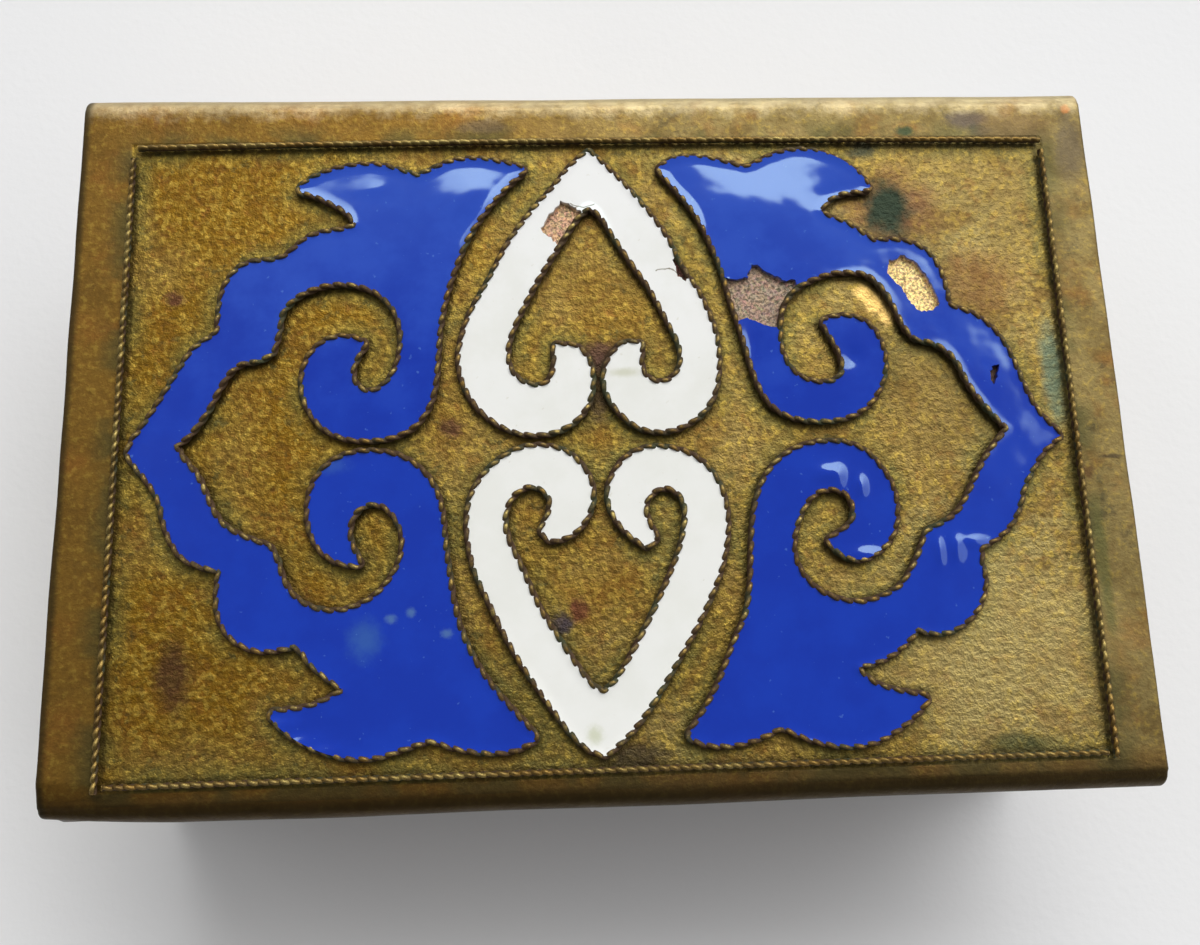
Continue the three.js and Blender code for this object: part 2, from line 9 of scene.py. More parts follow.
import bpy
import numpy as np
from mathutils import Euler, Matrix, Vector, geometry, kdtree


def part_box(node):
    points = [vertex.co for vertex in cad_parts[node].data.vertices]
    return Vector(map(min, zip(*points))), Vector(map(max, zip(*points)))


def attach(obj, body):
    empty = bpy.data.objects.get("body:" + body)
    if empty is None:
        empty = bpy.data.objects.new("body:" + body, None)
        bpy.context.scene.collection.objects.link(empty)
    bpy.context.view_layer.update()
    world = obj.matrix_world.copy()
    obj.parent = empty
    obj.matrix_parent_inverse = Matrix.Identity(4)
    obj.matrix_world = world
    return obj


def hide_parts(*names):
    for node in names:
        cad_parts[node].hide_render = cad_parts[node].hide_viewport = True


MM = 0.001

# ---- sizes shared with the CAD model

SHEET = 0.6
BEND_RADIUS = 1.0
LIP_HEIGHT = 3.2
CELL_WIRE = 0.42
ENAMEL_GAP = 0.03
BOARD = 0.5
STICK = 2.0
MATCHES = 36
HEAD_LENGTH = 3.6

# ---- sizes that only the looks have

FACE_STEP = 0.18  # between the case mesh's points on its face
GRAIN_HEIGHT = 0.042
BORDER_GRAIN_HEIGHT = 0.008
BORDER_STRANDS = 0.38  # across the two strands of a border wire
CELL_STRANDS = 0.42
BORDER_WEAR = (0.52, 1.0)  # the share of a wire's height where worn gold starts, and how clean it is
CELL_WEAR = (0.74, 0.68)
BORDER_LAY = 1.06  # along a wire for one full turn of its two strands
CELL_LAY = 1.38
LAY_STEPS = 12
STRAND_SIDES = 10
SIDE_RADIUS = 0.35  # of a strand, as a share of the wire's width
UP_RADIUS = 0.24  # and as a share of its height
SIDE_SWING = 0.11  # how far a strand's middle swings from the wire's, on the same measures
UP_SWING = 0.26
RUBBED_RELIEF = 0.45  # of the swings, on the wire by the spine
OUTLINE_STEP = 0.1
CORNER_TURN = math.radians(38)
ENAMEL_STEP = 0.13
ENAMEL_REACH = 0.21  # how far enamel runs in under its wire
ENAMEL_MIDDLE = 0.33  # its height inside the meniscus
MENISCUS = 0.075
MENISCUS_WIDTH = 0.52
CHIP_FLOOR = 0.05
CHIP_WALL = 0.05
SPOT_WOBBLE = 1.4  # how ragged a patch's edge is, as a share of its size
SPOT_DEPTH = 0.15  # how fast a patch fades off the face, a millimetre
LINE_WANDER = 0.25
LATTICE = 1.6  # half a turn of the label's diagonal lines
DIAMOND = 0.6  # and of the striker's
PRESSED_DEPTH = 0.42  # of the near bend at its left end
PRESSED_LENGTH = 7.0
DENT_DEPTH = 0.06
LIP_ROUND = 0.15
END_WEAR = 0.07  # how far the cut ends are worn round, and over what length
END_WEAR_LENGTH = 0.15
CUT_UNEVEN = 0.10  # how far the cut ends wander, and over what length that dies out
CUT_UNEVEN_LENGTH = 1.5
LAY_UNEVEN = 0.22  # of the wires' twist, as an angle
GLASS_WAVE = 0.012
GLASS_RIPPLE = 0.003
CHIP_STEP = 0.17  # between the nicks of a chip's edge, and how deep they are
CHIP_NICK = 0.045
CARD_CORNER = 0.35
SLEEVE_SAG = 0.05
STICK_CUT = 0.12
STICK_BOW = 0.12
CARD_BEVEL = 0.12
CARD_CREASE = 50  # edges of card turning by more than this, in degrees, are drawn sharp
FLOOR = 900  # half its side

# ---- frame and camera

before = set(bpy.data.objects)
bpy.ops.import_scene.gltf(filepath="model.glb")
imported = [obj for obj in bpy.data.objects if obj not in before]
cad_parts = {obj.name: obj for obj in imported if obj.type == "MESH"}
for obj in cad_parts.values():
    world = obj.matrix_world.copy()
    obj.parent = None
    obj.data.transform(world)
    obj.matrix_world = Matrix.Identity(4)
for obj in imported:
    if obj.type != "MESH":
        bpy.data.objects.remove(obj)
bpy.context.view_layer.update()


def cad_box(node):
    """A CAD node's lowest and highest corners, in mm."""
    low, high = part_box(node)
    return np.array(low) / MM, np.array(high) / MM


CASE_LOW, CASE_HIGH = cad_box("case_shell")
FACE = CASE_HIGH[2]
WIRE_BASE = cad_box("border_wire_left")[0][2]
WIRE_TOP = cad_box("border_wire_left")[1][2]
WIRE = WIRE_TOP - WIRE_BASE


def placed(name, data):
    """A new object in the scene."""
    thing = bpy.data.objects.new(name, data)
    bpy.context.scene.collection.objects.link(thing)
    return thing


def make_camera():
    """The camera, close above the face and a little on its open side."""
    data = bpy.data.cameras.new("camera")
    data.sensor_width = 36
    data.lens = 30.6
    data.clip_start = 0.002
    camera = placed("camera", data)
    camera.location = Vector((-2.5, -13.1, 71.1)) * MM
    camera.rotation_euler = Euler([math.radians(a) for a in (11.42, -2.13, -1.79)])
    bpy.context.scene.camera = camera


# ---- noise


def gradient_noise(x, y, seed):
    """Smooth noise from about -1 to 1 at arrays of places, one lump a unit."""
    turns = np.random.RandomState(seed).uniform(0, 2 * math.pi, (64, 64))
    column, row = np.floor(x).astype(int), np.floor(y).astype(int)
    u, v = x - column, y - row

    def corner(i, j):
        """What the random slope at one corner of each place's cell gives there."""
        angle = turns[(column + i) % 64, (row + j) % 64]
        return np.cos(angle) * (u - i) + np.sin(angle) * (v - j)

    su, sv = u * u * u * (u * (u * 6 - 15) + 10), v * v * v * (v * (v * 6 - 15) + 10)
    low = corner(0, 0) * (1 - su) + corner(1, 0) * su
    high = corner(0, 1) * (1 - su) + corner(1, 1) * su
    return 1.5 * (low * (1 - sv) + high * sv)


# ---- mesh helpers


def add_piece(name, points, faces, materials, body, replaces, crease=None, face_materials=None):
    """A smooth mesh piece from points in mm, riding on a CAD body in place of some of its nodes.

    Its edges that turn more than crease degrees are shaded hard."""
    mesh = bpy.data.meshes.new(name)
    mesh.from_pydata([tuple(p) for p in np.asarray(points) * MM], [], faces)
    mesh.validate()
    for material in materials:
        mesh.materials.append(material)
    if face_materials:
        mesh.polygons.foreach_set("material_index", face_materials)
    mesh.polygons.foreach_set("use_smooth", [True] * len(mesh.polygons))
    if crease:
        mesh.set_sharp_from_angle(angle=math.radians(crease))
    piece = placed(name, mesh)
    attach(piece, body)
    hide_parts(*replaces)
    return piece


def set_attribute(piece, name, values):
    """A number, or a colour and a strength, for each point of a piece, for its material."""
    kind, field = ("FLOAT", "value") if np.ndim(values) == 1 else ("FLOAT_COLOR", "color")
    attribute = piece.data.attributes.new(name, kind, "POINT")
    attribute.data.foreach_set(field, np.asarray(values, np.float32).ravel())


def grid_faces(rows, columns, close_rows=False, close_columns=False, start=0):
    """The quads of a grid of points counted row by row."""
    faces = []
    for i in range(rows if close_rows else rows - 1):
        here, below = start + i * columns, start + (i + 1) % rows * columns
        for j in range(columns if close_columns else columns - 1):
            right = (j + 1) % columns
            faces.append((here + j, here + right, below + right, below + j))
    return faces


# ---- outlines of the cells


def top_outline(node):
    """The anticlockwise outline of a flat CAD node's top face."""
    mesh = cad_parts[node].data
    places = np.array([v.co for v in mesh.vertices]) / MM
    top = places[:, 2].max()
    edges = set()
    for polygon in mesh.polygons:
        corners = [tuple(np.round(places[i], 3)) for i in polygon.vertices]
        if all(abs(corner[2] - top) < 0.01 for corner in corners):
            edges.update(zip(corners, corners[1:] + corners[:1]))
    following = {a: b for a, b in edges if (b, a) not in edges}
    outline = [min(following)]
    while following[outline[-1]] != outline[0]:
        outline.append(following[outline[-1]])
    return np.array(outline)[:, :2]


def smooth_run(knots, step):
    """Points along a centripetal Catmull-Rom curve through an open run of knots, without its last one."""
    padded = np.vstack([2 * knots[0] - knots[1], knots, 2 * knots[-1] - knots[-2]])
    points = []
    for a, b, c, d in zip(padded, padded[1:], padded[2:], padded[3:]):
        t1 = np.linalg.norm(b - a) ** 0.5
        t2 = t1 + np.linalg.norm(c - b) ** 0.5
        t3 = t2 + np.linalg.norm(d - c) ** 0.5
        count = max(1, round(np.linalg.norm(c - b) / step))
        for t in t1 + (t2 - t1) * np.arange(count) / count:
            a1 = a + (b - a) * t / t1
            a2 = b + (c - b) * (t - t1) / (t2 - t1)
            a3 = c + (d - c) * (t - t2) / (t3 - t2)
            b1 = a1 + (a2 - a1) * t / t2
            b2 = a2 + (a3 - a2) * (t - t1) / (t3 - t1)
            points.append(b1 + (b2 - b1) * (t - t1) / (t2 - t1))
    return points


def turn_at(before, point, after):
    """How sharply an outline turns at a point, from -pi to pi."""
    u, v = point - before, after - point
    return math.atan2(u[0] * v[1] - u[1] * v[0], u @ v)


def smooth_outline(outline, step):
    """A dense outline, curved between its sharp corners."""
    count = len(outline)
    corners = [i for i in range(count)
               if abs(turn_at(outline[i - 1], outline[i], outline[(i + 1) % count])) > CORNER_TURN]
    points = []
    for start, end in zip(corners, corners[1:] + [corners[0] + count]):
        points += smooth_run(outline[np.arange(start, end + 1) % count], step)
    return np.array(points)


def nearest(points):
    """A search tree over (x, y) points."""
    tree = kdtree.KDTree(len(points))
    for i, (x, y) in enumerate(points):
        tree.insert((x, y, 0), i)
    tree.balance()
    return tree


def distances(tree, points):
    """How far each point is from the nearest one in a tree."""
    return np.array([tree.find((x, y, 0))[2] for x, y in points])


def beside(outline, distance):
    """The line that runs round the outside of a dense outline, round at its points."""
    count = len(outline)
    moved = []
    for i, point in enumerate(outline):
        before, after = outline[i - 1], outline[(i + 1) % count]
        turn = turn_at(before, point, after)
        heading = math.atan2(point[1] - before[1], point[0] - before[0])
        steps = max(1, round(turn / 0.3))
        for k in range(steps):
            angle = heading + turn * (k + 0.5) / steps
            moved.append(point + distance * np.array((math.sin(angle), -math.cos(angle))))
    moved = np.array(moved)
    return moved[distances(nearest(outline), moved) > distance * 0.97]


def closed_up(path, closed):
    """A path with its first point again at its end if it is closed."""
    return np.vstack([path, path[:1]]) if closed else path


def evenly(path, count, closed):
    """A path as so many points at even steps along it."""
    ring = closed_up(path, closed)
    along = np.concatenate([[0], np.cumsum(np.linalg.norm(np.diff(ring, axis=0), axis=1))])
    places = np.linspace(0, along[-1], count, endpoint=not closed)
    return np.stack([np.interp(places, along, ring[:, axis]) for axis in (0, 1)], axis=1)


def path_length(path, closed):
    """The length of a path, with its closing step if it is closed."""
    return np.linalg.norm(np.diff(closed_up(path, closed), axis=0), axis=1).sum()


def inside(points, outline):
    """Which points lie inside a closed outline."""
    x, y = points[:, 0], points[:, 1]
    within = np.zeros(len(points), bool)
    for (x1, y1), (x2, y2) in zip(outline, np.roll(outline, -1, axis=0)):
        if y1 != y2:
            within ^= ((y1 > y) != (y2 > y)) & (x < (x2 - x1) * (y - y1) / (y2 - y1) + x1)
    return within


# ---- node materials


class Nodes:
    """A node tree in the making. Inputs take a socket or a plain value."""

    def __init__(self, owner):
        owner.use_nodes = True
        self.tree = owner.node_tree
        self.tree.nodes.clear()

    def link(self, source, target):
        """Feeds a socket from another socket, or sets it to a plain value."""
        if isinstance(source, bpy.types.NodeSocket):
            self.tree.links.new(source, target)
        elif isinstance(source, (tuple, list)) and len(target.default_value) == 4 and len(source) == 3:
            target.default_value = (*source, 1)
        else:
            target.default_value = source

    def node(self, kind, *values, **settings):
        """A new node with these settings, and its first inputs fed with these values."""
        node = self.tree.nodes.new(f"ShaderNode{kind}")
        for name, setting in settings.items():
            setattr(node, name, setting)
        for socket, value in zip(node.inputs, values):
            self.link(value, socket)
        return node

    def math(self, operation, a, b=0.0):
        return self.node("Math", a, b, operation=operation).outputs[0]

    def times(self, a, b):
        return self.math("MULTIPLY", a, b)

    def plus(self, a, b):
        return self.math("ADD", a, b)

    def minus(self, a, b):
        return self.math("SUBTRACT", a, b)

    def ramp(self, value, low, high, to_low=0.0, to_high=1.0):
        """Value taken smoothly from low..high to to_low..to_high, and held there beyond."""
        node = self.node("MapRange", value, low, high, to_low, to_high, interpolation_type="SMOOTHSTEP")
        return node.outputs[0]


class Shader(Nodes):
    """A procedural material in the making. Its coordinates are millimetres in the piece's own space."""

    def __init__(self, name):
        self.material = bpy.data.materials.new(name)
        super().__init__(self.material)
        self.surface = self.node("BsdfPrincipled")
        self.node("OutputMaterial", self.surface.outputs[0])
        place = self.node("TexCoord")
        self.place = self.vector("MULTIPLY", place.outputs["Object"], (1 / MM, 1 / MM, 1 / MM))
        self.x, self.y, self.z = self.node("SeparateXYZ", self.place).outputs

    def vector(self, operation, a, b):
        return self.node("VectorMath", a, b, operation=operation).outputs[0]

    def length(self, vector):
        return self.node("VectorMath", vector, operation="LENGTH").outputs["Value"]

    def attribute(self, name, output="Fac"):
        return self.node("Attribute", attribute_name=name).outputs[output]

    def mix(self, share, a, b, blend="MIX"):
        """Colour a going over to colour b."""
        node = self.node("Mix", share, data_type="RGBA", blend_type=blend)
        self.link(a, node.inputs[6])
        self.link(b, node.inputs[7])
        return node.outputs[2]

    def noise(self, lumps, detail=2.0, roughness=0.5, stretch=(1, 1, 1), shift=0.0):
        """Fractal noise with so many lumps to a millimetre."""
        place = self.vector("MULTIPLY", self.place, stretch)
        place = self.vector("ADD", place, (shift, shift * 0.7, shift * 1.3))
        node = self.node("TexNoise", place)
        for name, number in (("Scale", lumps), ("Detail", detail), ("Roughness", roughness)):
            node.inputs[name].default_value = number
        return node.outputs["Fac"]

    def cells(self, lumps):
        """A random colour for each of scattered cells, so many to a millimetre."""
        node = self.node("TexVoronoi", self.place)
        node.inputs["Scale"].default_value = lumps
        return node.outputs["Color"]

    def spot(self, centre, size, soft=0.5):
        """1 in the middle of a ragged oval on the face, falling to 0 outside it."""
        wobble = self.noise(1.4 / max(size), detail=4, roughness=0.65, shift=centre[0] + 3 * centre[1])
        wobble = self.times(self.minus(wobble, 0.5), SPOT_WOBBLE)
        offset = self.vector("SUBTRACT", self.place, (*centre, FACE))
        scaled = self.vector("MULTIPLY", offset, (1 / size[0], 1 / size[1], SPOT_DEPTH))
        return self.ramp(self.plus(self.length(scaled), wobble), 1 - soft, 1 + soft, 1.0, 0.0)

    def stained_and_lit(self, colour, stains, soft=0.5):
        """A colour with patches on it, stains and on the brass face also painted light and shade: the middle,
        half size, colour and strength of each.
        """
        for centre, size, stain, strength in stains:
            colour = self.mix(self.times(self.spot(centre, size, soft), strength), colour, stain)
        return colour

    def line(self, start, end, half_width):
        """1 on a slightly wandering line on the face, 0 beside it."""
        run = Vector((*end, 0)) - Vector((*start, 0))
        wander = self.vector("MULTIPLY", self.noise(3, shift=7), (LINE_WANDER, LINE_WANDER, 0))
        place = self.vector("ADD", self.vector("MULTIPLY", self.place, (1, 1, 0)), wander)
        offset = self.vector("SUBTRACT", place, (start[0] + LINE_WANDER / 2, start[1] + LINE_WANDER / 2, 0))
        dot = self.node("VectorMath", offset, tuple(run / run.length_squared), operation="DOT_PRODUCT")
        share = self.math("MINIMUM", self.math("MAXIMUM", dot.outputs["Value"], 0.0), 1.0)
        off_line = self.vector("SUBTRACT", offset, self.vector("MULTIPLY", share, tuple(run)))
        return self.ramp(self.length(off_line), half_width / 2, half_width * 1.5, 1.0, 0.0)

    def diagonals(self, a, b, spacing):
        """Distance from the nearest line of a lattice that crosses the axes a and b diagonally."""
        rising = self.math("PINGPONG", self.plus(a, b), spacing)
        return self.math("MINIMUM", rising, self.math("PINGPONG", self.minus(a, b), spacing))

    def bump(self, height, depth, normal=None):
        """Relief of height (0 to 1) times depth in mm."""
        node = self.node("Bump")
        node.inputs["Strength"].default_value = 1.0
        node.inputs["Distance"].default_value = depth * MM
        self.link(height, node.inputs["Height"])
        if normal is not None:
            self.link(normal, node.inputs["Normal"])
        return node.outputs[0]

    def finish(self, colour, roughness, metallic, relief, **constants):
        """The finished material."""
        self.link(colour, self.surface.inputs["Base Color"])
        self.link(roughness, self.surface.inputs["Roughness"])
        self.link(metallic, self.surface.inputs["Metallic"])
        self.link(relief, self.surface.inputs["Normal"])
        for name, value in constants.items():
            self.surface.inputs[name.replace("_", " ")].default_value = value
        return self.material


# Discoloured places on the brass face, and three broad patches of painted light and shade: middle, half size,
# colour, strength
FACE_STAINS_AND_LIGHT = [
    # The first three paint light and shade: brighter at the lower right, darker at the upper right and over
    # the upper heart.
    ((19.5, -12.0), (6.5, 4.5), (0.46, 0.36, 0.14), 0.35),
    ((20.5, 12.0), (6.0, 5.0), (0.15, 0.12, 0.05), 0.25),
    ((-0.3, 10.5), (4.0, 5.0), (0.15, 0.10, 0.03), 0.25),
    ((18.5, 2.5), (4.5, 4.5), (0.13, 0.09, 0.03), 0.4),
    ((16.4, 12.1), (2.4, 2.2), (0.14, 0.05, 0.03), 0.6),
    ((16.3, 12.1), (1.3, 1.5), (0.016, 0.032, 0.02), 0.95),
    ((15.2, 15.8), (0.8, 0.6), (0.03, 0.04, 0.03), 0.8),
    ((20.7, 7.6), (2.6, 1.8), (0.18, 0.08, 0.03), 0.5),
    ((17.8, 16.9), (0.5, 0.3), (0.03, 0.06, 0.03), 0.8),
    ((21.5, 17.6), (1.1, 0.5), (0.07, 0.055, 0.05), 0.75),
    ((22.1, 16.9), (0.6, 0.4), (0.03, 0.04, 0.03), 0.7),
    ((24.0, 17.2), (2.0, 1.2), (0.15, 0.09, 0.04), 0.5),
    ((27.2, 15.9), (0.8, 1.9), (0.085, 0.065, 0.04), 0.75),
    ((27.3, 18.2), (0.25, 0.25), (0.45, 0.16, 0.04), 0.7),
    ((24.6, 2.6), (0.6, 2.6), (0.11, 0.17, 0.12), 0.7),
    ((27.3, -2.3), (0.6, 0.12), (0.05, 0.035, 0.02), 0.75),
    ((25.9, -3.1), (0.35, 0.35), (0.10, 0.05, 0.02), 0.7),
    ((26.1, -8.5), (0.35, 3.4), (0.085, 0.095, 0.03), 0.55),
    ((20.4, -17.0), (1.7, 0.45), (0.035, 0.045, 0.02), 0.65),
    ((-21.8, -12.2), (0.8, 1.7), (0.07, 0.03, 0.015), 0.8),
    ((-22.7, 7.4), (0.5, 0.4), (0.09, 0.03, 0.02), 0.8),
    ((-8.0, 0.0), (0.6, 0.5), (0.08, 0.03, 0.02), 0.8),
    ((-2.4, -10.4), (0.5, 0.6), (0.04, 0.03, 0.05), 0.85),
    ((-1.5, -9.7), (0.5, 0.6), (0.12, 0.03, 0.02), 0.8),
    ((1.2, -17.0), (1.6, 0.6), (0.04, 0.03, 0.02), 0.8),
    ((-0.2, 2.2), (0.6, 2.2), (0.05, 0.03, 0.02), 0.8),
    ((0.0, 3.8), (1.3, 0.8), (0.08, 0.038, 0.03), 0.8),
    ((-0.68, 3.5), (0.16, 0.16), (0.50, 0.26, 0.14), 0.8),
    ((-6.0, 17.4), (1.3, 0.4), (0.12, 0.085, 0.05), 0.6),
    ((14.6, 7.2), (0.5, 0.4), (0.80, 0.53, 0.17), 1.0),
    ((15.2, 6.6), (0.55, 0.55), (0.80, 0.53, 0.17), 1.0),
    ((15.8, 5.9), (0.4, 0.5), (0.80, 0.53, 0.17), 1.0),
]

GOLD = (0.215, 0.112, 0.007)
KHAKI = (0.285, 0.222, 0.08)
ORANGE = (0.20, 0.085, 0.010)
BROWN = (0.095, 0.050, 0.010)
GRIME_AND_SHADE = (0.030, 0.022, 0.008)
OLIVE = (0.14, 0.135, 0.035)
GLINT = (0.48, 0.33, 0.055)
MOULD = (0.060, 0.062, 0.022)
RUST = (0.24, 0.095, 0.018)
SKIN_LEFT = (0.195, 0.105, 0.017)
SKIN_RIGHT = (0.19, 0.14, 0.05)
SKIN_SPOTS = (0.075, 0.06, 0.03)
RUBBED_AND_SHEEN = (0.66, 0.56, 0.33)


def ground_colour(s, broad, medium, dull, granule, wire_distance):
    """The granular brass inside the frame: brown gold to khaki, with rust and mould, grains of random tone,
    painted glints on the grain's high points and painted shade in its hollows.
    """
    khaki = s.plus(s.times(s.ramp(s.x, -20, 26), 0.85), s.ramp(broad, 0.35, 0.65, -0.25, 0.3))
    colour = s.mix(khaki, GOLD, KHAKI)
    colour = s.mix(s.ramp(medium, 0.48, 0.66, 0.0, 0.5), colour, ORANGE)
    colour = s.mix(s.ramp(dull, 0.55, 0.75, 0.0, 0.5), colour, BROWN)
    rust = s.noise(1.1, detail=3, roughness=0.6, shift=71)
    colour = s.mix(s.ramp(rust, 0.54, 0.68, 0.0, 0.45), colour, RUST)
    green = s.ramp(s.noise(0.25, detail=3, shift=17), 0.4, 0.6, 0.1, 0.7)
    colour = s.mix(s.times(s.ramp(wire_distance, 0.3, 1.5, 1.0, 0.0), green), colour, OLIVE)
    shade = s.cells(3.8)
    # Random lighter grains, and painted glints on the high points of the grain.
    glint = s.plus(s.ramp(shade, 0.55, 0.85, 0.0, 0.4), s.ramp(granule, 0.50, 0.70, 0.0, 0.4))
    colour = s.mix(glint, colour, GLINT)
    # Random darker grains, and painted shade in the hollows of the grain and of the mesh's relief.
    hollow = s.plus(s.ramp(shade, 0.45, 0.2, 0.0, 0.2), s.ramp(granule, 0.5, 0.32, 0.0, 0.4))
    hollow = s.plus(hollow, s.ramp(s.attribute("grain"), 0.5, 0.2, 0.0, 0.2))
    colour = s.mix(hollow, colour, BROWN)
    mould = s.ramp(s.noise(1.5, detail=4, roughness=0.7, shift=57), 0.54, 0.66, 0.0, 0.6)
    return s.mix(s.times(mould, s.ramp(wire_distance, 0.4, 2.4, 1.0, 0.35)), colour, MOULD)


def skin_colour(s, medium, granule, wire_distance):
    """The smoother aged brass of the border, spine and back."""
    colour = s.mix(s.ramp(s.x, -12, 8), SKIN_LEFT, SKIN_RIGHT)
    colour = s.mix(s.ramp(medium, 0.45, 0.65, 0.0, 0.35), colour, BROWN)
    spots = s.ramp(s.noise(0.55, detail=5, roughness=0.7, shift=41), 0.55, 0.68)
    colour = s.mix(s.times(spots, s.ramp(s.x, -15, 20, 0.1, 0.7)), colour, SKIN_SPOTS)
    rust = s.noise(0.22, detail=4, roughness=0.65, shift=91)
    colour = s.mix(s.ramp(rust, 0.5, 0.68, 0.0, 0.5), colour, RUST)
    colour = s.mix(s.ramp(s.y, -16.9, -18.2, 0.0, 0.45), colour, ORANGE)
    # Painted glints on the high points of the fine grain, and painted shade in its hollows.
    colour = s.mix(s.ramp(granule, 0.5, 0.7, 0.0, 0.28), colour, GLINT)
    colour = s.mix(s.ramp(granule, 0.5, 0.3, 0.0, 0.35), colour, BROWN)
    tarnish = s.ramp(s.noise(0.35, detail=3, shift=83), 0.42, 0.6, 0.0, 0.65)
    return s.mix(s.times(s.ramp(wire_distance, 0.3, 1.8, 1.0, 0.0), tarnish), colour, MOULD)


def case_brass():
    """The whole case: its ground and skin with stains and three broad patches of painted light and shade,
    dirt and painted shade beside the wires, rubbed pale with a painted highlight along the spine, painted
    shade on the near bend, and darker at its left end.
    """
    s = Shader("case_brass")
    broad = s.noise(0.09, detail=3, roughness=0.6)
    medium = s.noise(0.45, detail=4, roughness=0.6, shift=11)
    dull = s.noise(0.8, detail=5, roughness=0.7, shift=5)
    granule = s.noise(2.6, detail=3, roughness=0.65, shift=23)
    wire_distance = s.attribute("wire_distance")
    granular = s.attribute("granular")
    ground = ground_colour(s, broad, medium, dull, granule, wire_distance)
    skin = skin_colour(s, medium, granule, wire_distance)
    colour = s.mix(s.ramp(granular, 0.4, 0.9, 1.0, 0.0), ground, skin)
    colour = s.stained_and_lit(colour, FACE_STAINS_AND_LIGHT)
    # Dirt and painted shade in the crease beside every wire.
    colour = s.mix(s.ramp(wire_distance, 0.2, 0.45, 0.5, 0.0), colour, GRIME_AND_SHADE)
    # Rubbed pale brass along the spine's bend, with a painted highlight on it.
    rubbed = s.ramp(s.plus(s.y, s.ramp(dull, 0.3, 0.7, -0.35, 0.35)), 17.7, 19.3, 0.0, 0.62)
    below = s.plus(s.minus(FACE, s.z), s.ramp(broad, 0.35, 0.65, -0.8, 0.8))
    colour = s.mix(s.times(rubbed, s.ramp(below, 0.6, 3.4, 1.0, 0.15)), colour, RUBBED_AND_SHEEN)
    # Painted shade on the near bend.
    near_bend_shade = s.times(s.ramp(s.y, -17.3, -19.0), s.ramp(s.x, 10, 26, 0.85, 0.8))
    colour = s.mix(near_bend_shade, colour, GRIME_AND_SHADE)
    # Darker along the left cut end.
    left_end = s.ramp(s.x, CASE_LOW[0] + 0.2, CASE_LOW[0] + 0.6, 0.8, 0.0)
    colour = s.mix(left_end, colour, GRIME_AND_SHADE)
    relief = s.bump(s.noise(8, detail=2, roughness=0.6), 0.012)
    relief = s.bump(s.times(granule, granular), 0.11, relief)
    return s.finish(colour, s.ramp(medium, 0.3, 0.7, 0.46, 0.58), 0.88, relief)


def wire_brass():
    """Worn golden crests on the strands, with black and verdigris between them."""
    s = Shader("wire_brass")
    crest = s.attribute("crest")
    tone = s.noise(0.35, detail=3, shift=4)
    gold = s.mix(s.ramp(tone, 0.35, 0.65), (0.33, 0.25, 0.08), (0.24, 0.145, 0.035))
    bead = s.ramp(s.noise(1.1, detail=1, shift=51), 0.35, 0.62, 0.75, 0.0)
    gold = s.mix(bead, gold, (0.12, 0.075, 0.025))
    verdigris = s.ramp(s.noise(0.5, detail=3, shift=21), 0.48, 0.66)
    dirt = s.mix(verdigris, (0.062, 0.032, 0.012), (0.045, 0.048, 0.018))
    worn = s.noise(3, detail=3, roughness=0.7, shift=8)
    dirty = s.ramp(s.plus(crest, s.ramp(worn, 0.3, 0.7, -0.4, 0.3)), 0.2, 0.85, 1.0, 0.0)
    colour = s.mix(dirty, gold, dirt)
    relief = s.bump(s.noise(9, detail=2), 0.02)
    return s.finish(colour, s.ramp(dirty, 0, 1, 0.45, 0.8), s.ramp(dirty, 0, 1, 0.85, 0.2), relief)


# Stained places on the enamel, as on the brass
BLUE_STAINS = [
    ((-12.3, -10.9), (0.7, 0.8), (0.05, 0.15, 0.34), 0.45),
    ((-11.0, -9.9), (0.25, 0.2), (0.12, 0.24, 0.36), 0.5),
    ((-10.0, -9.6), (0.2, 0.2), (0.12, 0.24, 0.36), 0.5),
    ((-8.2, -10.7), (0.25, 0.2), (0.12, 0.24, 0.36), 0.5),
    ((-14.2, -1.9), (0.8, 0.4), (0.05, 0.14, 0.42), 0.35),
]
WHITE_STAINS = [
    ((1.27, 2.78), (0.7, 0.22), (0.52, 0.52, 0.36), 0.6),
    ((-0.9, -15.9), (0.35, 0.4), (0.45, 0.48, 0.25), 0.5),
]
WHITE_CRACKS = [
    ((-1.4, 12.5), (-0.7, 12.25)),
    ((-0.7, 12.25), (-0.1, 12.45)),
    ((3.2, 8.55), (3.9, 8.65)),
    ((3.9, 8.65), (4.4, 8.3)),
]
CRACK = (0.20, 0.17, 0.11)
SHEEN = (0.70, 0.98, 1.0, 1.0)

# The far colours are a painted sheen towards the spine.
BLUE_GLASS = {
    "light": (0.001, 0.024, 0.37),
    "dark": (0.002, 0.031, 0.41),
    "far": (0.022, 0.075, 0.50),
    "specks": (0.08, 0.18, 0.55),
    "gloss": 1.72,
    "stains": BLUE_STAINS,
}
WHITE_GLASS = {
    "light": (0.78, 0.78, 0.735),
    "dark": (0.81, 0.81, 0.775),
    "far": (0.86, 0.86, 0.85),
    "specks": (0.66, 0.64, 0.56),
    "gloss": 1.45,
    "stains": WHITE_STAINS,
    "cracks": WHITE_CRACKS,
}


